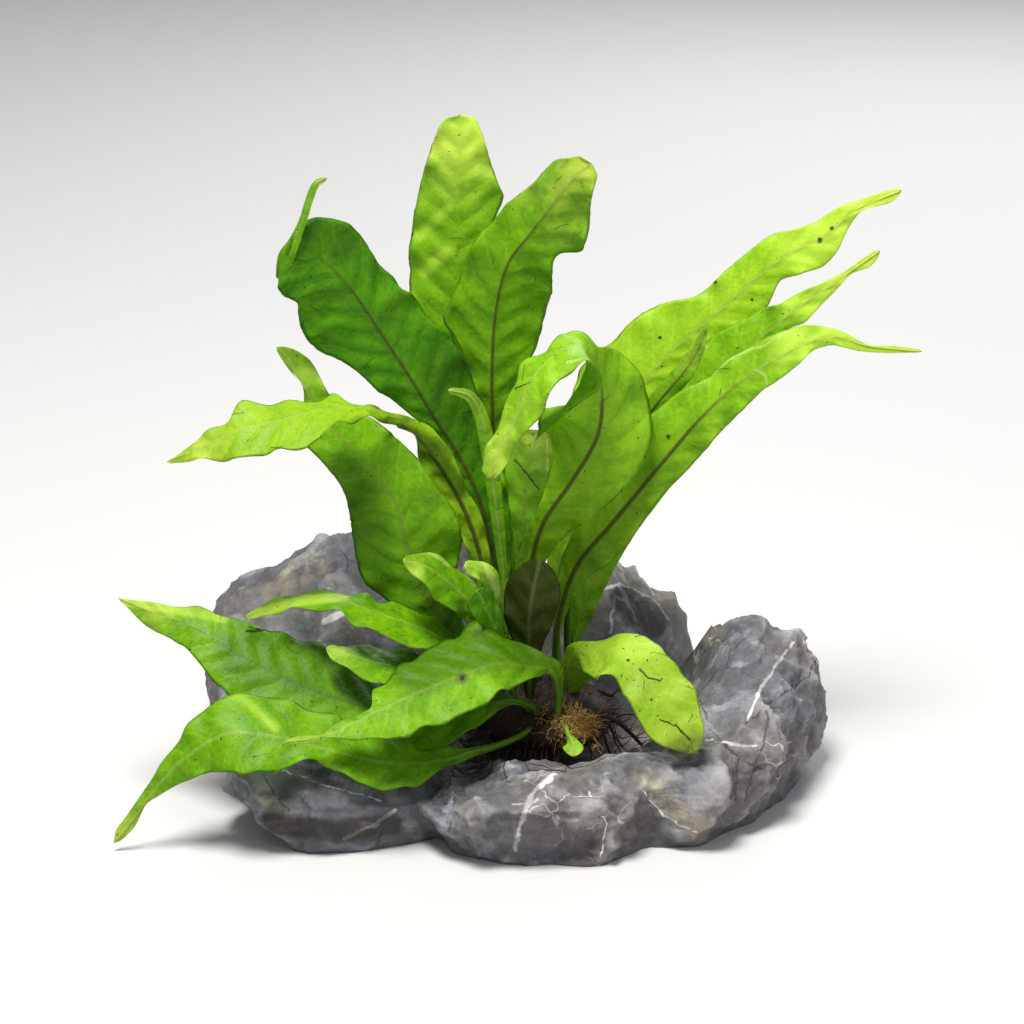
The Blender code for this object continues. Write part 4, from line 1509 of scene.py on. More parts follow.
@dataclass(frozen=True)
class Studio:
    """The pale floor, the soft light and the camera."""

    lamps: tuple
    floor_side: float = 8.0
    floor_colour: tuple = (0.58, 0.58, 0.575, 1.0)
    sky_colour: tuple = (0.93, 0.95, 1.0, 1.0)
    sky_strength: float = 0.32

    def build(self) -> None:
        """Makes the floor, the lights and the camera."""
        self.build_floor()
        self.build_light()
        self.build_camera()

    def build_floor(self) -> None:
        """Makes the floor."""
        bm = bmesh.new()
        bmesh.ops.create_grid(bm, x_segments=2, y_segments=2, size=self.floor_side / 2.0)
        mesh = bpy.data.meshes.new("floor")
        bm.to_mesh(mesh)
        bm.free()
        floor = bpy.data.objects.new("floor", mesh)
        bpy.context.scene.collection.objects.link(floor)
        material = new_material("floor")
        graph = NodeGraph(material.node_tree)
        paint = graph.add("ShaderNodeBsdfPrincipled", {"Base Color": self.floor_colour, "Roughness": 0.9})
        paint.inputs["Specular IOR Level"].default_value = 0.1
        graph.add("ShaderNodeOutputMaterial", {0: paint.outputs[0]})
        mesh.materials.append(material)

    def build_light(self) -> None:
        """Makes the lamps and the sky."""
        world = bpy.data.worlds.new("studio")
        bpy.context.scene.world = world
        world.use_nodes = True
        sky = world.node_tree.nodes["Background"]
        sky.inputs["Color"].default_value = self.sky_colour
        sky.inputs["Strength"].default_value = self.sky_strength
        target = Vector((0.0, 0.0, EYE_AIM_HEIGHT * MM))
        for lamp in self.lamps:
            data = bpy.data.lights.new(lamp.name, "AREA")
            data.shape = "DISK"
            data.size = lamp.side_m
            data.energy = lamp.power
            data.color = lamp.colour
            light = bpy.data.objects.new(lamp.name, data)
            light.location = lamp.place_m
            light.rotation_mode = "QUATERNION"
            light.rotation_quaternion = (target - light.location).to_track_quat("-Z", "Y")
            bpy.context.scene.collection.objects.link(light)

    def build_camera(self) -> None:
        """Makes the camera where the eye is."""
        data = bpy.data.cameras.new("camera")
        data.lens = EYE_LENS
        data.sensor_width = EYE_SENSOR
        camera = bpy.data.objects.new("camera", data)
        camera.location = eye_point() * MM
        camera.rotation_mode = "QUATERNION"
        target = Vector((0.0, 0.0, EYE_AIM_HEIGHT * MM))
        camera.rotation_quaternion = (target - camera.location).to_track_quat("-Z", "Y")
        bpy.context.scene.collection.objects.link(camera)
        bpy.context.scene.camera = camera


# The leaf greens are partly the leaves' own colours and partly lit and shaded copies of one green. The palest is
# painted light for the brightest leaf, and the deep green of the broad left leaf and a small crown leaf is painted
# shade.
PALE = LeafFinish(lit=(0.50, 0.76, 0.035), deep=(0.33, 0.60, 0.018), specks=0.07)
PLAIN = LeafFinish(lit=(0.30, 0.58, 0.016), deep=(0.18, 0.42, 0.008), specks=0.08, ribbed=0.15)
BRIGHT = LeafFinish(lit=(0.37, 0.66, 0.018), deep=(0.20, 0.47, 0.008), specks=0.14)
YELLOWISH = LeafFinish(lit=(0.40, 0.64, 0.022), deep=(0.26, 0.50, 0.012), specks=0.12)
GREEN = LeafFinish(lit=(0.30, 0.58, 0.012), deep=(0.15, 0.40, 0.006), specks=0.10)
FRESH = LeafFinish(lit=(0.25, 0.53, 0.007), deep=(0.12, 0.34, 0.004), specks=0.10)
DEEP = LeafFinish(lit=(0.15, 0.44, 0.004), deep=(0.06, 0.25, 0.003), specks=0.14, tip=0.0)
SPECKLED = LeafFinish(lit=(0.46, 0.68, 0.05), deep=(0.30, 0.52, 0.02), specks=0.42, ribbed=0.3)
OLIVE = LeafFinish(lit=(0.07, 0.14, 0.006), deep=(0.03, 0.06, 0.004), specks=0.12, wilt=0.25, tip=0.0)

RHIZOME_FINISH = FibreFinish("rhizome", (0.010, 0.008, 0.006), (0.040, 0.024, 0.013))
ROOT_FINISH = FibreFinish("root", (0.022, 0.012, 0.007), (0.110, 0.052, 0.024), rough=0.65)
HAIR_FINISH = FibreFinish("root hair", (0.012, 0.009, 0.007), (0.055, 0.034, 0.018))
GOLD_FINISH = FibreFinish("golden hair", (0.300, 0.160, 0.040), (0.780, 0.520, 0.160))

# The leaves' dark shades are painted shade. Their pale shades are paler tissue together with painted light on tips,
# folds and edges.
LEAVES = (
    Leaf("leaf_back_tall", Slot.BRIGHT, PLAIN, 0.10, (
        (0.0, -38.5, 7.0, 0.8, 0), (-1.5, -24.0, 10.0, 1.5, 0), (-3.5, -8.0, 13.5, 3.5, 0),
        (-7.0, 12.0, 16.0, 6.0, 0), (-11.5, 32.0, 18.0, 9.5, 5), (-14.0, 50.0, 19.5, 11.8, 8),
        (-14.0, 65.0, 20.5, 12.0, 8), (-13.5, 78.0, 21.5, 10.3, 5), (-13.0, 89.0, 22.0, 7.2, 0),
        (-12.8, 99.3, 22.5, 3.4, 0)),
        left=(
            (-25.9, 58.7), (-26, 64.6), (-25.1, 71.9), (-23.2, 81.5), (-21.1, 88.4), (-18.9, 95),
            (-16.9, 99.1), (-13.3, 99.6)),
        right=(
            (-6, 69.9), (-1.9, 78.4), (-3.4, 82.4), (-5, 85.8), (-6.4, 91.7), (-7.9, 96), (-9.8, 99.9),
            (-13.3, 99.6)),
        shades=(Shade(Tone.PALE, 1.6, ((-22.0, 60.0), (-15.5, 66.0)), 0.6), Shade(Tone.PALE, 1.4, ((-23.5, 69.0), (-16.0, 76.0)), 0.5),
            Shade(Tone.PALE, 11.0, ((-14.0, 99.0), (-12.5, 96.0)), 0.85),)),
    Leaf("leaf_centre_upright", Slot.FRESH, FRESH, 0.14, (
        (3.0, -40.0, 3.5, 0.8, 0), (1.0, -24.0, 6.0, 1.5, 0), (-1.5, -10.0, 8.5, 4.0, 0),
        (-3.5, 4.0, 10.0, 6.0, 0), (-4.7, 20.5, 11.0, 8.5, 0), (-5.0, 35.5, 11.0, 10.2, 0),
        (-4.0, 50.5, 10.5, 11.4, 0), (-1.0, 62.0, 9.0, 12.0, 0), (5.0, 70.0, 7.5, 11.3, 0),
        (10.3, 77.0, 6.0, 9.7, 0), (15.0, 83.0, 4.5, 7.6, 0), (19.6, 87.3, 3.5, 3.2, 0)), under=((0.0, 1.0),),
        left=(
            (-7.4, 23), (-9.3, 30.9), (-12, 38.2), (-15, 44.5), (-17.8, 46.6), (-16.9, 49.4),
            (-14.3, 55.4), (-10.7, 65.3), (-8, 70.2), (-5.7, 71.5), (-1.7, 76.8), (2.5, 79.8),
            (6.5, 83.4), (10.5, 88.2), (14.8, 88.5)),
        right=(
            (-0.4, 29.6), (6.2, 40.5), (8.2, 48.8), (10, 55), (9.8, 58.7), (10.3, 63.9), (13.8, 64.8),
            (16.3, 62.6), (17.4, 64.9), (19.2, 69.9), (18.8, 71.9), (19.7, 77.2), (21.8, 86.7),
            (19.7, 87.9), (14.8, 88.5)),
        shades=(Shade(Tone.PALE, 2.2, ((15.5, 86.5), (20.0, 84.5)), 0.8), Shade(Tone.BROWN, 1.2, ((-13.0, 62.5),)), Shade(Tone.DARK, 6.0, ((-3.0, 22.0), (-1.0, 6.0)), 0.6),)),
    Leaf("leaf_left_broad", Slot.DEEP, DEEP, 0.10, (
        (-1.0, -40.5, 0.5, 0.8, 0), (-2.5, -24.0, 1.5, 2.0, 0), (-5.0, -9.0, 2.5, 5.0, 0),
        (-8.5, 4.0, 3.5, 8.0, 0), (-13.5, 14.3, 4.0, 10.5, 0), (-19.3, 23.5, 3.5, 12.3, 0),
        (-24.8, 32.5, 2.0, 13.0, 0), (-32.0, 43.5, 0.0, 13.0, 0), (-39.0, 54.0, -2.5, 12.6, 0),
        (-45.0, 61.0, -4.5, 12.0, 0), (-51.0, 65.5, -6.5, 9.5, 0), (-55.5, 68.0, -7.5, 4.0, 0)), under=((0.0, 1.0),),
        left=(
            (-19.3, 20.9), (-23.2, 22.5), (-28.5, 26.6), (-33.8, 30.3), (-39.1, 35.2), (-43, 37.9),
            (-47.7, 39.2), (-51.3, 42.8), (-52.9, 47.4), (-53.4, 52.1), (-57, 53.7), (-60.5, 58.7),
            (-58.2, 61.6), (-54.9, 67.3), (-52, 71.9), (-49.3, 73.7)),
        right=(
            (-6.7, 19), (-7.7, 26.3), (-9.7, 33.6), (-12.6, 39.5), (-15, 44.8), (-17.3, 45.8),
            (-21.2, 48.8), (-24.9, 54.7), (-28.2, 55.7), (-28.8, 58), (-33.1, 61.6), (-37.1, 68.6),
            (-41.1, 72.5), (-45.7, 73.5), (-49.3, 73.7)),
        shades=(Shade(Tone.DARK, 7.0, ((-17.0, 37.0), (-12.0, 20.0)), 0.55), Shade(Tone.DARK, 6.0, ((-51.0, 69.0), (-40.0, 68.0)), 0.5),)),
    Leaf("leaf_left_level", Slot.BRIGHT, YELLOWISH, 0.10, (
        (-4.5, -41.5, -2.5, 0.8, 0), (-6.0, -26.0, -2.0, 1.2, 0), (-8.0, -11.0, -1.5, 2.6, 0),
        (-12.5, 1.8, -1.0, 4.2, 0), (-19.0, 12.8, -1.0, 4.6, 0), (-25.5, 20.6, -3.6, 4.2, -15),
        (-33.5, 25.2, -13.0, 5.6, -48), (-41.8, 26.0, -18.5, 8.0, -62), (-50.5, 24.8, -21.0, 9.0, -55),
        (-59.3, 22.5, -22.5, 9.4, -48), (-68.0, 20.5, -23.5, 8.6, -35), (-76.8, 16.5, -23.5, 3.8, -30),
        (-86.2, 12.5, -22.5, 0.7, -20)), under=((0.0, 1.0), (0.42, 1.0), (0.55, 0.0)),
        left=(
            (-22.4, 18.5), (-28.8, 21.4), (-34.6, 23.6), (-39.1, 23.6), (-42.6, 22.9), (-48.1, 19.8),
            (-52.6, 16.8), (-55.5, 15.8), (-58.4, 16.6), (-60.9, 15.4), (-68, 13.4), (-72.5, 12.9),
            (-76, 13.5), (-80.9, 12.6), (-86, 12.1)),
        right=(
            (-10.8, 4.4), (-14.6, 14.6), (-20.4, 21.6), (-26.2, 24), (-35.9, 26.5), (-44.9, 29.6),
            (-48.1, 28.5), (-55.8, 28.5), (-62.9, 27.5), (-67.7, 28.1), (-71, 26.2), (-69.6, 24.2),
            (-71.9, 23), (-77, 19.8), (-82.1, 15.6), (-86, 12.1)),
        shades=(Shade(Tone.DARK, 3.0, ((-38.0, 21.5), (-30.0, 20.5), (-22.0, 17.0), (-13.0, 6.0)), 0.95),)),
    Leaf("leaf_left_curved", Slot.FRESH, FRESH, -0.04, (
        (-8.5, -43.5, -6.5, 0.8, 0), (-10.5, -36.0, -7.5, 1.2, 0), (-16.5, -28.0, -9.5, 4.5, 0),
        (-22.5, -19.5, -11.0, 9.0, 0), (-26.2, -9.5, -12.0, 13.0, 6), (-29.5, 3.0, -11.5, 12.4, 10),
        (-38.5, 13.8, -8.5, 8.0, 8), (-46.0, 22.5, -4.5, 5.0, 0), (-51.8, 31.5, -3.0, 3.2, 0),
        (-55.5, 37.5, -1.0, 2.0, 0), (-58.8, 41.3, 0.0, 0.6, 0)), under=((0.0, 0.3),),
        left=(
            (-28.8, -23.9), (-35.9, -18.8), (-37.8, -16.2), (-39.1, -11.1), (-40.6, -0.1), (-41.3, 3.1),
            (-44.2, 8.9), (-49.4, 14.5), (-52.3, 16.9), (-51.9, 29.4), (-52.6, 32.6), (-54.5, 37.1),
            (-56.4, 39.2), (-59, 41.5)),
        right=(
            (-12.4, -7.9), (-12.6, -4), (-14, -0.1), (-18.5, 6.3), (-22.4, 11.8), (-30.1, 20.1),
            (-35.2, 23.6), (-42.9, 26.2), (-46, 29.8), (-48.7, 35.2), (-50.6, 38.4), (-55.5, 41.3),
            (-59, 41.5)),
        shades=(Shade(Tone.DARK, 6.5, ((-42.0, 9.0), (-36.0, -4.0), (-35.0, -18.0)), 0.6), Shade(Tone.DARK, 4.0, ((-10.0, -30.0), (-20.0, -24.0)), 0.7),)),
    Leaf("leaf_slender", Slot.FRESH, FRESH, 0.10, (
        (0.0, -44.0, -6.0, 0.8, 0), (-1.0, -26.0, -6.5, 0.9, 0), (-2.5, -12.0, -6.5, 1.2, 0),
        (-3.8, 0.5, -6.5, 1.8, 0), (-5.5, 13.0, -6.0, 2.0, 0), (-7.5, 23.0, -5.5, 1.8, 0),
        (-10.5, 28.8, -5.5, 1.4, 0), (-16.0, 30.5, -6.0, 0.7, 0))),
    Leaf("leaf_arched", Slot.FRESH, BRIGHT, 0.10, (
        (7.0, -43.0, -5.0, 0.8, 0), (5.5, -26.0, -6.0, 1.1, 0), (5.0, -13.0, -6.5, 3.2, 0),
        (8.0, -2.5, -7.5, 6.8, 0), (14.5, 7.0, -9.0, 10.5, 0), (21.0, 18.0, -11.0, 13.3, -5),
        (22.5, 27.5, -13.0, 12.6, -22), (21.3, 35.0, -17.0, 11.2, -45), (18.0, 41.0, -23.0, 10.0, -58),
        (11.5, 39.8, -29.0, 9.2, -58), (5.0, 33.0, -33.0, 7.6, -48), (1.0, 23.5, -35.0, 5.8, -35),
        (-3.0, 15.0, -36.0, 4.0, -20), (-6.0, 8.5, -36.5, 1.8, 0)), under=((0.0, 1.0), (0.55, 1.0), (0.63, 0.0)),
        left=(
            (8.2, 16.4), (7.2, 21), (10.5, 26.3), (12.5, 30.9), (15.1, 36.7), (11.1, 34.2), (9.2, 28.9),
            (5.9, 22.7), (2.5, 19), (-0.1, 15.7), (-1.1, 11.8)),
        right=(
            (21.7, 40.5), (20.4, 42.8), (18.4, 46.1), (16.4, 46.2), (12.5, 44.5), (6.2, 40.5), (1.9, 37.5),
            (-0.4, 30.9), (-5.7, 17.7), (-7.4, 14.4)),
        marks=(Mark(0.45, ((13.8, 37.3), (17.0, 38.3), (20.0, 37.6)), pale=True), Mark(0.25, ((-1.8, 28.5), (1.0, 31.0), (4.5, 32.3))),)),
    Leaf("leaf_centre_short", Slot.FRESH, FRESH, 0.12, (
        (3.0, -46.0, -10.0, 0.8, 0), (2.5, -28.0, -11.0, 0.9, 0), (2.3, -12.0, -12.5, 1.6, 0),
        (2.8, -1.5, -14.0, 3.0, 0), (3.6, 9.0, -15.5, 5.4, 0), (5.2, 16.0, -16.5, 5.2, 0),
        (6.8, 20.5, -17.0, 2.6, 0)), under=((0.0, 0.3),),
        marks=(Mark(0.4, ((8.8, 18.0), (8.8, 10.5)), pale=True), Mark(0.3, ((0.8, 13.0), (7.0, 5.5))),)),
    Leaf("leaf_right_upper", Slot.BRIGHT, PALE, 0.08, (
        (12.0, -39.0, 4.0, 0.8, 0), (11.0, -24.0, 5.0, 1.0, 0), (12.5, -8.0, 6.5, 4.0, 0),
        (18.5, 8.0, 8.5, 8.5, 0), (25.0, 20.5, 10.5, 12.0, 0), (32.5, 31.5, 12.5, 13.0, 0),
        (41.0, 41.0, 14.0, 11.6, 0), (51.5, 50.0, 15.0, 8.6, 0), (61.0, 58.5, 15.5, 6.8, 0),
        (70.0, 65.0, 15.5, 6.2, 0), (79.0, 69.5, 15.0, 5.6, 0), (86.0, 75.5, 14.5, 3.2, 0),
        (97.4, 80.4, 14.0, 0.7, 0)),
        left=(
            (16, 35.3), (21.9, 40.2), (25.5, 42.9), (29.2, 47.2), (31.8, 49.5), (38.4, 52.5), (46, 53.9),
            (48.3, 55.4), (53, 60.1), (58.2, 64.4), (62.9, 68.3), (66.2, 70), (69.5, 70.3), (76.1, 72.6),
            (80.7, 75.9), (85.3, 77.6), (95.2, 80.9), (97.8, 80.3)),
        right=(
            (34.5, 26), (40.4, 34), (54.3, 41.9), (60.9, 47.2), (64.1, 51.5), (66.8, 57.9), (70.8, 59.1),
            (78.1, 61.3), (82, 65.9), (82.4, 67.8), (84.7, 72), (87.4, 75.5), (95.2, 77.4), (97.8, 80.3)),
        marks=(Mark(0.9, ((77.0, 68.0),)), Mark(0.7, ((80.0, 71.0),)), Mark(0.7, ((50.8, 57.5),)), Mark(0.6, ((47.8, 44.8),)), Mark(0.7, ((37.0, 43.5),)), Mark(0.5, ((60.0, 53.0),)),),
        shades=(Shade(Tone.PALE, 8.0, ((92.0, 79.0), (74.0, 66.0)), 0.8),)),
    Leaf("leaf_right_forked", Slot.FRESH, BRIGHT, 0.10, (
        (16.5, -41.0, 1.5, 0.8, 0), (15.5, -33.0, 2.0, 1.4, 0), (17.5, -24.5, 2.5, 3.2, 0),
        (20.8, -15.0, 3.0, 4.0, 0), (26.0, -3.5, 3.5, 5.2, 0), (33.0, 9.0, 4.0, 7.0, 0),
        (41.5, 22.0, 4.5, 8.0, 0), (50.5, 32.5, 5.0, 7.6, 0), (59.0, 40.5, 5.0, 6.4, 0),
        (66.5, 47.0, 5.0, 5.0, 0), (73.5, 52.5, 5.0, 3.6, 0), (80.5, 57.2, 5.0, 2.6, 0),
        (92.0, 65.3, 5.0, 0.7, 0)),
        left=(
            (49, 43.2), (58.2, 48.5), (64.2, 51.6), (66.8, 51.8), (72.1, 55.1), (78.7, 57.8), (84, 60.7),
            (88, 63.7), (92.7, 66.5)),
        right=(
            (54.3, 35.3), (62.9, 41.9), (69.5, 45.9), (73.4, 47.3), (76.7, 51.1), (81.4, 55.8),
            (85, 59.9), (89.2, 60.9), (91.6, 63.4), (92.7, 66.5)),
        shades=(Shade(Tone.PALE, 8.0, ((90.0, 64.0), (74.0, 53.0)), 0.7),)),
    Leaf("leaf_right_long", Slot.BRIGHT, BRIGHT, 0.12, (
        (10.5, -42.0, -2.0, 0.8, 0), (11.5, -28.0, -3.0, 1.2, 0), (16.0, -14.0, -4.0, 4.2, 0),
        (24.5, -3.5, -5.0, 8.0, 0), (32.0, 5.5, -6.0, 10.5, 0), (39.0, 14.0, -6.5, 10.4, 0),
        (47.0, 23.3, -6.5, 9.0, 0), (55.8, 31.5, -6.0, 7.6, 0), (64.5, 37.5, -5.5, 5.9, 0),
        (73.0, 42.0, -5.0, 5.0, 0), (81.0, 43.8, -4.5, 3.0, 0), (89.0, 41.5, -4.0, 1.6, 0),
        (102.4, 40.1, -3.0, 0.6, 0)), under=((0.0, 1.0), (0.55, 1.0), (0.7, 0.0)),
        left=(
            (49, 33.3), (54.3, 38.5), (62.9, 43.2), (69.5, 45.9), (73.4, 47), (80, 46.2), (83.4, 44.9),
            (88.6, 41.9), (91.3, 40.9), (102.5, 40)),
        right=(
            (23.9, -13.6), (29.8, -7), (35.1, 1.6), (39.1, 5.6), (43.7, 10.2), (49, 16.1), (51.6, 19.4),
            (58.2, 26), (62.9, 30.7), (66.8, 33), (71.5, 36.6), (75.4, 40.6), (80, 41.8), (86.7, 40.2),
            (93.3, 39.7), (102.5, 39.9)),
        marks=(Mark(0.8, ((39.0, 18.8),)), Mark(0.5, ((48.3, 38.5), (55.8, 39.3), (63.3, 41.8), (69.0, 45.5)), pale=True), Mark(0.5, ((60.8, 35.5), (63.5, 34.2), (65.3, 31.8)), pale=True),),
        shades=(
            Shade(Tone.PALE, 8.0, ((100.0, 40.0), (84.0, 42.5), (72.0, 41.0)), 0.85),
            Shade(Tone.DARK, 6.0, ((44.0, 17.0), (32.0, 5.0), (20.0, -10.0)), 0.30))),
    Leaf("leaf_right_narrow", Slot.DEEP, FRESH, 0.10, (
        (14.0, -40.5, -0.5, 0.8, 0), (14.0, -24.0, -0.5, 0.9, 0), (17.5, -8.0, -1.0, 1.2, 0),
        (24.0, 7.0, -1.0, 1.8, 0), (31.0, 20.0, -1.0, 2.2, 0), (37.0, 28.0, -1.0, 2.5, 0),
        (42.5, 34.5, -1.0, 2.4, 0), (46.0, 40.0, -1.0, 1.8, 0), (48.5, 46.0, -1.0, 0.6, 0)), under=((0.0, 1.0),)),
    Leaf("leaf_right_drooping", Slot.BRIGHT, SPECKLED, 0.10, (
        (14.5, -46.0, -13.0, 0.8, 0), (14.0, -39.0, -17.0, 1.6, 0), (16.0, -35.3, -21.0, 3.4, 10),
        (21.0, -35.0, -26.0, 6.0, 35), (28.0, -35.8, -33.0, 8.0, 40), (34.5, -42.0, -39.0, 8.4, 25),
        (39.0, -49.5, -43.5, 8.0, 10), (43.2, -56.5, -46.0, 5.0, 0), (46.2, -60.0, -47.0, 1.6, 0)),
        left=(
            (14.4, -32.9), (20.9, -31.7), (25.6, -30.3), (33.6, -29.7), (37.4, -33.2), (38.5, -36.2),
            (41.5, -37.4), (43.9, -40.9), (46.2, -44.4), (48.1, -53.9), (47.4, -60.9)),
        right=(
            (14.4, -32.9), (15.2, -36.4), (17.3, -39.7), (20.9, -41.5), (24.4, -40.1), (26.8, -42.1),
            (28.2, -45.6), (32.1, -52.7), (33.8, -56.2), (37.4, -58.6), (44.4, -60.7), (47.4, -60.9)),
        shades=(Shade(Tone.BROWN, 3.0, ((41.0, -60.0), (46.0, -57.5))), Shade(Tone.PALE, 4.0, ((29.0, -34.0), (34.0, -33.0)), 0.5),),
        marks=(Mark(0.35, ((32.0, -39.5), (34.0, -41.5), (37.0, -42.0))), Mark(0.35, ((37.0, -52.0), (41.0, -53.5), (44.5, -57.0))), Mark(0.6, ((29.0, -37.0),)), Mark(0.5, ((35.0, -47.0),)),)),
    Leaf("leaf_front", Slot.BRIGHT, GREEN, 0.08, (
        (11.5, -51.5, -23.0, 0.8, 0), (11.5, -44.5, -24.5, 0.9, 0), (9.5, -39.8, -27.5, 2.2, -20),
        (4.5, -38.8, -30.5, 5.5, -38), (-3.8, -38.0, -35.0, 11.0, -40), (-13.0, -41.0, -39.5, 13.4, -40),
        (-23.0, -45.0, -44.0, 11.6, -40), (-31.8, -49.0, -48.0, 8.2, -40), (-40.5, -53.3, -52.0, 3.6, -40),
        (-48.5, -56.5, -55.5, 1.4, -30), (-57.2, -57.5, -58.0, 0.6, 0)),
        left=(
            (10.8, -39.7), (2, -42.7), (-3, -44.7), (-9.4, -49), (-17.3, -52.2), (-24.4, -54.3),
            (-31.6, -56.8), (-42.3, -56.5), (-46.6, -56.2), (-50.1, -57.9), (-58, -57.9)),
        right=(
            (13.8, -38), (6.7, -35), (2, -31.5), (-5.1, -27.9), (-9.8, -26.2), (-14.5, -30.3),
            (-21.6, -33.6), (-30.5, -39.7), (-32.3, -42.2), (-35.9, -44.7), (-36.6, -46.8),
            (-35.5, -48.8), (-33.6, -49.2), (-38.4, -50.2), (-44.4, -52.9), (-47.6, -55.6),
            (-54.4, -56.1), (-58, -57.9)),
        shades=(Shade(Tone.DARK, 8.0, ((6.0, -34.0), (-12.0, -33.0), (-24.0, -39.0)), 0.8), Shade(Tone.BROWN, 1.6, ((-12.5, -41.5),)),),
        marks=(Mark(0.8, ((-12.5, -41.5),)),)),
    Leaf("leaf_low_left_broad", Slot.FRESH, FRESH, 0.10, (
        (7.5, -53.0, -20.5, 0.8, 0), (5.0, -49.0, -23.0, 0.9, 0), (0.0, -47.0, -25.0, 1.2, -20),
        (-7.0, -48.3, -27.0, 3.5, -38), (-15.5, -50.8, -28.5, 7.8, -40), (-28.0, -50.8, -30.0, 13.0, -38),
        (-39.3, -48.0, -31.0, 15.0, -36), (-50.5, -44.3, -31.0, 15.0, -33), (-61.8, -39.3, -29.0, 12.0, -28),
        (-71.8, -33.5, -26.0, 9.4, -22), (-80.5, -28.5, -22.0, 5.8, -15), (-90.5, -24.8, -18.0, 2.6, -10),
        (-98.4, -21.5, -15.0, 0.7, 0)), under=((0.0, 0.4),),
        left=(
            (-72.3, -44.3), (-78, -37.9), (-81.6, -33.6), (-85.1, -31.8), (-88.7, -30), (-92.3, -27.9),
            (-95.1, -25), (-98.4, -21.6)),
        right=(
            (-57.3, -29.7), (-63, -28.2), (-67.3, -26.7), (-71.6, -25.9), (-78, -23.5), (-85.1, -23.2),
            (-92.3, -22.2), (-98.4, -21.6)),
        shades=(Shade(Tone.PALE, 1.5, ((-98.0, -22.0), (-86.0, -24.0), (-72.0, -26.5)), 0.55), Shade(Tone.DARK, 9.0, ((-66.0, -36.0), (-48.0, -40.0), (-30.0, -44.0)), 0.6),),
        marks=(Mark(0.5, ((-66.0, -27.0), (-66.3, -29.8))), Mark(0.3, ((-66.1, -28.6), (-64.6, -27.2))),)),
    Leaf("leaf_low_left_long", Slot.FRESH, FRESH, 0.10, (
        (5.0, -54.0, -24.0, 0.8, 0), (1.0, -56.5, -29.5, 0.8, 0), (-5.0, -58.8, -34.5, 0.9, 0),
        (-11.0, -60.2, -39.0, 1.3, -15), (-17.0, -62.0, -42.0, 4.0, -32), (-25.5, -63.0, -46.0, 7.6, -36),
        (-35.5, -62.0, -48.5, 9.8, -36), (-48.0, -59.0, -50.0, 11.0, -34), (-60.5, -56.0, -50.5, 11.4, -30),
        (-71.0, -55.5, -51.0, 10.2, -22), (-80.8, -60.8, -51.0, 5.4, -12), (-88.5, -68.5, -51.0, 2.9, -5),
        (-95.5, -78.0, -51.0, 1.6, 0), (-99.5, -82.6, -51.0, 0.6, 0)),
        left=(
            (-10.1, -61.5), (-17.3, -64.3), (-24.4, -68.5), (-31.6, -69.2), (-38.7, -67.2),
            (-45.9, -63.2), (-51.6, -61.8), (-58.7, -64.3), (-67.3, -65.2), (-75.9, -65), (-84.4, -68.6),
            (-91.6, -72.9), (-94.1, -78.6), (-97.6, -82.2), (-99.6, -83.2)),
        right=(
            (-71.6, -45.8), (-77.3, -48.6), (-80.1, -51.5), (-83, -56.5), (-87.6, -62.2), (-89.4, -65.8),
            (-97.3, -77.2), (-99.3, -79.5), (-99.6, -83.2)),
        shades=(Shade(Tone.PALE, 1.3, ((-71.8, -43.3), (-65.0, -48.5), (-59.3, -54.0)), 0.5),)),
    Leaf("leaf_low_left_thin", Slot.FRESH, FRESH, 0.08, (
        (-6.0, -46.0, -12.5, 0.8, 0), (-7.5, -40.0, -14.5, 1.2, -20), (-12.5, -34.0, -17.5, 3.2, -45),
        (-20.5, -30.0, -21.0, 7.6, -56), (-29.3, -26.8, -22.5, 8.8, -60), (-38.0, -23.8, -22.0, 8.0, -64),
        (-45.5, -21.5, -21.0, 6.4, -68), (-53.0, -21.8, -19.5, 4.6, -68), (-60.5, -24.0, -18.0, 3.0, -60),
        (-66.8, -26.3, -16.5, 0.7, -40)),
        shades=(Shade(Tone.PALE, 1.4, ((-65.5, -26.0), (-54.0, -22.5), (-42.0, -21.0)), 0.8),)),
    Leaf("leaf_low_left_folded", Slot.FRESH, FRESH, 0.08, (
        (-3.5, -48.5, -17.0, 0.8, 0), (-5.5, -43.5, -19.5, 1.2, -20), (-12.5, -40.8, -23.5, 3.2, -50),
        (-22.5, -39.5, -26.5, 7.6, -54), (-33.0, -38.0, -28.0, 7.6, -54), (-41.8, -35.5, -28.5, 4.4, -50),
        (-46.5, -34.0, -28.5, 1.0, -40)),
        marks=(Mark(0.5, ((-45.5, -32.0), (-39.3, -32.0), (-34.3, -35.8), (-26.8, -35.8)), pale=True),)),
    Leaf("leaf_crown_pale_edge", Slot.FRESH, FRESH, 0.12, (
        (-4.5, -46.0, -9.5, 0.8, 0), (-6.0, -33.0, -12.5, 1.2, 0), (-9.5, -24.0, -16.0, 4.0, -30),
        (-15.0, -18.5, -19.5, 6.6, -45), (-21.0, -14.0, -22.5, 6.2, -50), (-27.3, -12.0, -24.5, 1.0, -40)),
        marks=(Mark(0.7, ((-28.0, -8.3), (-22.0, -10.0), (-16.8, -12.5)), pale=True),)),
    Leaf("leaf_crown_folded", Slot.BRIGHT, BRIGHT, 0.16, (
        (-1.0, -46.0, -12.0, 0.8, 0), (-1.5, -32.0, -15.5, 1.0, 0), (-4.5, -20.5, -19.5, 2.4, -20),
        (-7.5, -15.0, -22.5, 3.4, -40), (-12.0, -13.5, -25.5, 1.2, -30)),
        marks=(Mark(1.0, ((-12.3, -10.3), (-7.0, -12.5), (-1.8, -16.3)), pale=True),)),
    Leaf("leaf_crown_brown", Slot.OLIVE, OLIVE, 0.24, (
        (4.5, -48.0, -15.5, 0.8, 0), (4.3, -36.0, -19.5, 3.0, 0), (4.2, -27.5, -22.0, 6.0, 0),
        (5.2, -20.0, -23.5, 6.8, 0), (6.3, -15.0, -24.5, 4.4, 0), (7.0, -12.0, -25.0, 1.4, 0)),
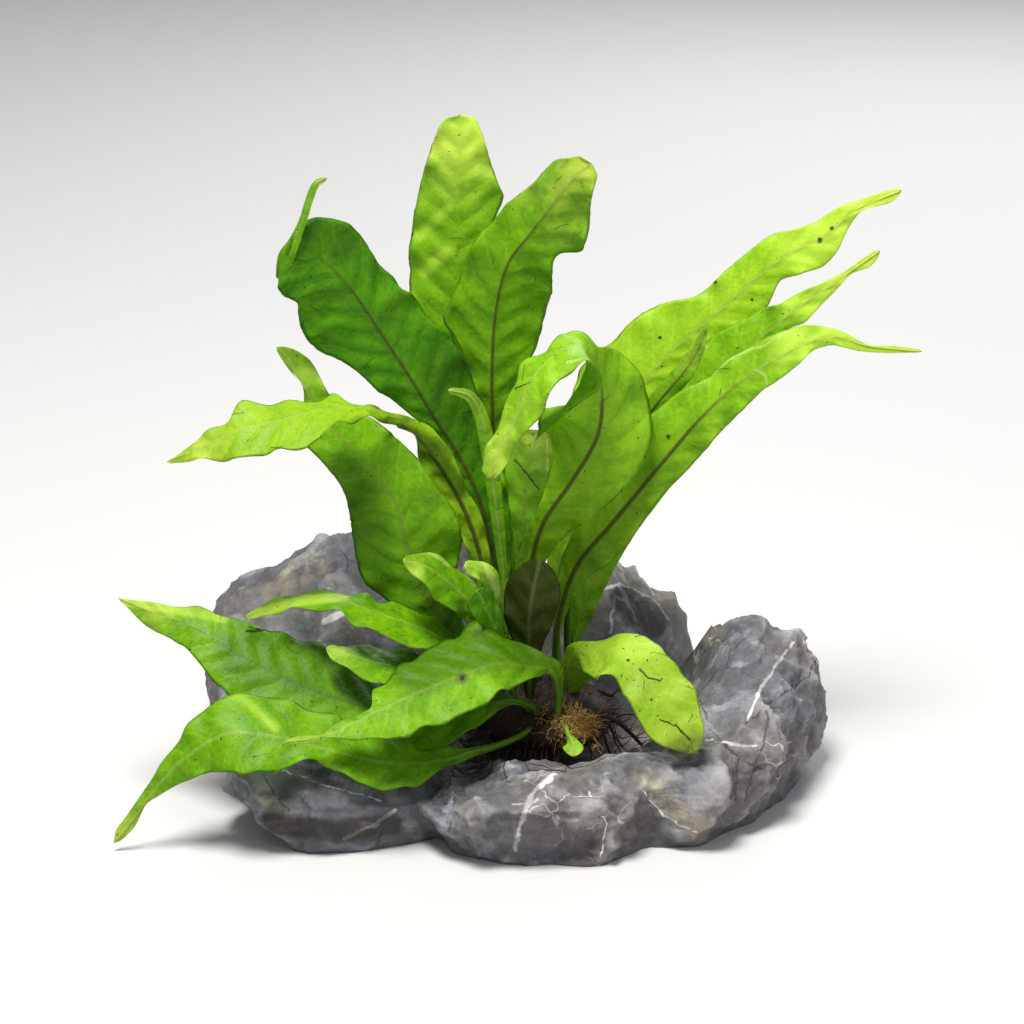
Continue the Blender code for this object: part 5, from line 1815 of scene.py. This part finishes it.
        shades=(Shade(Tone.DARK, 5.0, ((-1.0, -24.0), (6.0, -31.0)), 0.8),)),
    Leaf("leaf_crown_small", Slot.DEEP, DEEP, 0.14, (
        (1.0, -48.0, -16.0, 0.8, 0), (-1.8, -37.0, -20.0, 1.0, 0), (-4.5, -28.5, -24.0, 2.6, -10),
        (-7.2, -22.8, -27.0, 3.8, -20), (-9.0, -19.5, -28.5, 1.6, -20))),
    Leaf("leaf_base_round", Slot.BRIGHT, BRIGHT, 0.10, (
        (13.5, -53.5, -24.5, 0.6, 0), (14.0, -55.6, -29.0, 0.6, 0), (14.8, -57.1, -32.5, 1.2, 0),
        (15.3, -58.9, -35.0, 2.6, 0), (15.2, -61.2, -36.5, 1.2, 0))),
    Leaf("leaf_left_broad_tail", Slot.DEEP, FRESH, 0.05, (
        (-58.5, 58.5, -7.2, 0.6, 0), (-56.5, 63.5, -7.4, 2.2, 20), (-54.5, 67.5, -7.5, 1.8, 40),
        (-52.3, 72.9, -7.5, 1.5, 50), (-50.8, 77.8, -7.5, 1.2, 40), (-49.0, 82.0, -7.5, 0.9, 20),
        (-46.3, 83.4, -7.5, 0.5, 0)), seated=False, stalk_radius=0.3, ruffle=0.3),
)

STONE_SIDES = (
    Side(0, 70, 33, 44),
    Side(14, 72, 36.5, 46),
    Side(28, 62, 33, 47),
    Side(39, 54, 17, 43),
    Side(47, 50, 12, 39),
    Side(53, 65, 24, 37),
    Side(59, 70, 33, 36),
    Side(67, 70, 39, 36),
    Side(77, 67, 44, 34),
    Side(98, 64, 42, 32),
    Side(116, 70, 46, 31),
    Side(129, 80, 49, 31),
    Side(140, 90, 47.5, 31),
    Side(149, 97, 41, 31),
    Side(161, 94, 31, 30),
    Side(180, 82, 24, 28),
    Side(201, 81, 21, 27),
    Side(215, 78, 17, 27),
    Side(224, 65, 15.5, 27),
    Side(233, 53, 14, 27),
    Side(246, 55, 16.5, 28),
    Side(264, 54.5, 19.5, 29),
    Side(282, 52.5, 19, 30.5),
    Side(299, 50, 17.5, 29.5),
    Side(315, 59, 17.5, 29),
    Side(330, 64, 22, 34),
    Side(346, 69, 30, 40),
)

WHITE_VEINS = (
    Vein(((15.0, -62.5), (9.5, -66.5), (5.8, -69.5), (3.2, -74.5), (1.8, -80.0), (0.8, -84.0), (-0.5, -89.0)), 0.85),
    Vein(((0.0, -73.2), (3.5, -73.0), (6.5, -71.5)), 0.35),
    Vein(((-29.3, -74.5), (-35.0, -78.5), (-41.8, -81.5)), 0.7),
    Vein(((-58.0, -64.5), (-46.0, -68.5), (-33.0, -72.0)), 0.3),
    Vein(((70.3, -32.8), (66.0, -38.5), (62.0, -44.5), (59.0, -52.0)), 0.6),
    Vein(((48.3, -57.0), (58.0, -58.5), (69.5, -57.5)), 0.40),
    Vein(((22.0, -8.3), (27.0, -18.0), (31.0, -27.0)), 0.7),
    Vein(((32.0, -14.0), (26.0, -21.0), (24.5, -30.0)), 0.6),
    Vein(((27.0, -18.0), (36.0, -22.0), (39.0, -27.0)), 0.35),
    Vein(((-46.8, -27.3), (-42.0, -25.0), (-40.5, -23.5)), 1.2),
    Vein(((33.0, -70.0), (38.0, -76.0), (46.0, -80.0)), 0.35),
    Vein(((19.0, -70.0), (24.0, -78.0), (22.0, -86.0)), 0.3),
)
BROWN_CRACKS = (
    Vein(((62.5, -44.5), (64.0, -51.0), (63.3, -57.0), (60.0, -66.0), (58.3, -72.0)), 0.42),
    Vein(((77.0, -37.0), (74.0, -41.0), (69.5, -44.5), (63.0, -49.0), (58.3, -53.3)), 0.35),
    Vein(((47.0, -47.0), (49.5, -54.5), (55.0, -60.0), (62.0, -64.5), (72.0, -67.0)), 0.40),
    Vein(((56.5, -62.0), (55.8, -72.0), (53.3, -82.0)), 0.38),
    Vein(((-62.0, -66.0), (-56.0, -75.0), (-58.0, -82.0)), 0.35),
    Vein(((-20.0, -64.0), (-14.0, -72.0), (-16.0, -80.0)), 0.3),
)
PALE_STAINS = (
    Vein(((33.0, -66.0), (40.0, -74.0), (47.0, -80.0)), 3.5),
    Vein(((28.0, -14.0), (41.0, -19.0)), 4.0),
    Vein(((-60.0, -20.0), (-48.0, -12.0)), 4.0),
    Vein(((-62.0, -70.0), (-56.0, -78.0)), 3.5),
)

# Painted shadows in the stone's hollows, by the points where the eye sees them, and half their width.
HOLLOW_SHADOWS = (
    Vein(((28.0, -22.0), (35.0, -28.0)), 5.0),
    Vein(((-20.0, -52.0), (-12.0, -46.0)), 5.0),
    Vein(((-60.0, -78.0), (-45.0, -80.0), (-30.0, -78.0)), 4.0),
)

ROOTS = (
    ((20.0, -12.0, 19.0), (26.0, -15.5, 19.0), (30.0, -18.5, 16.5), (32.5, -19.5, 14.0)),
    ((0.0, -16.0, 19.0), (-5.0, -20.5, 18.5), (-9.0, -22.5, 17.5), (-11.0, -21.5, 15.8)),
    ((17.0, -18.0, 18.0), (21.0, -23.5, 16.5), (22.0, -27.5, 14.0)),
    ((2.0, 0.0, 18.0), (-5.0, 3.0, 18.0), (-8.5, 4.5, 16.0)),
    ((14.0, 0.0, 18.0), (21.0, 5.0, 18.0), (26.0, 8.0, 15.5)),
)

LAMPS = (
    Lamp("key", (-0.12, -0.25, 0.95), 0.34, 14.0, (1.0, 0.98, 0.94)),
    Lamp("fill", (0.75, -0.75, 0.55), 0.7, 2.2, (0.94, 0.97, 1.0)),
    Lamp("back", (0.30, 0.85, 0.60), 0.5, 4.5),
)


def main() -> None:
    """Builds the stage and every piece of the object."""
    logging.basicConfig(level=logging.INFO, format="%(message)s")
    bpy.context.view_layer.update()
    view = bpy.context.scene.view_settings
    view.view_transform = "Standard"
    Studio(LAMPS).build()
    stone = Stone(STONE_SIDES, WHITE_VEINS, BROWN_CRACKS, PALE_STAINS, HOLLOW_SHADOWS)
    stone_piece = stone.build()
    stone.dress(stone_piece, StoneFinish())
    rhizome = Rhizome(ROOTS)
    rhizome_piece = rhizome.build()
    rhizome.dress(rhizome_piece, RHIZOME_FINISH)
    body, ground = tree_of(rhizome_piece), tree_of(stone_piece)
    fine = Roots()
    fine.dress(fine.build(rhizome, body, ground), ROOT_FINISH)
    for fur, finish in FURS:
        fur.dress(fur.build(rhizome, body), finish)
    surface = leaf_group(bits_group())
    for number, leaf in enumerate(LEAVES):
        leaf.dress(leaf.build(body), surface, number)


FURS = (
    (Fur("root_hairs", 900, (1.4, 4.6), 0.075, ((8.0, -12.0, 21.0), (26.0, 24.0, 8.0)), 3), HAIR_FINISH),
    (Fur("golden_hairs", 620, (1.2, 3.2), 0.11, ((15.5, -23.5, 22.0), (7.0, 5.0, 4.5)), 4), GOLD_FINISH),
)

if __name__ == "__main__":
    main()
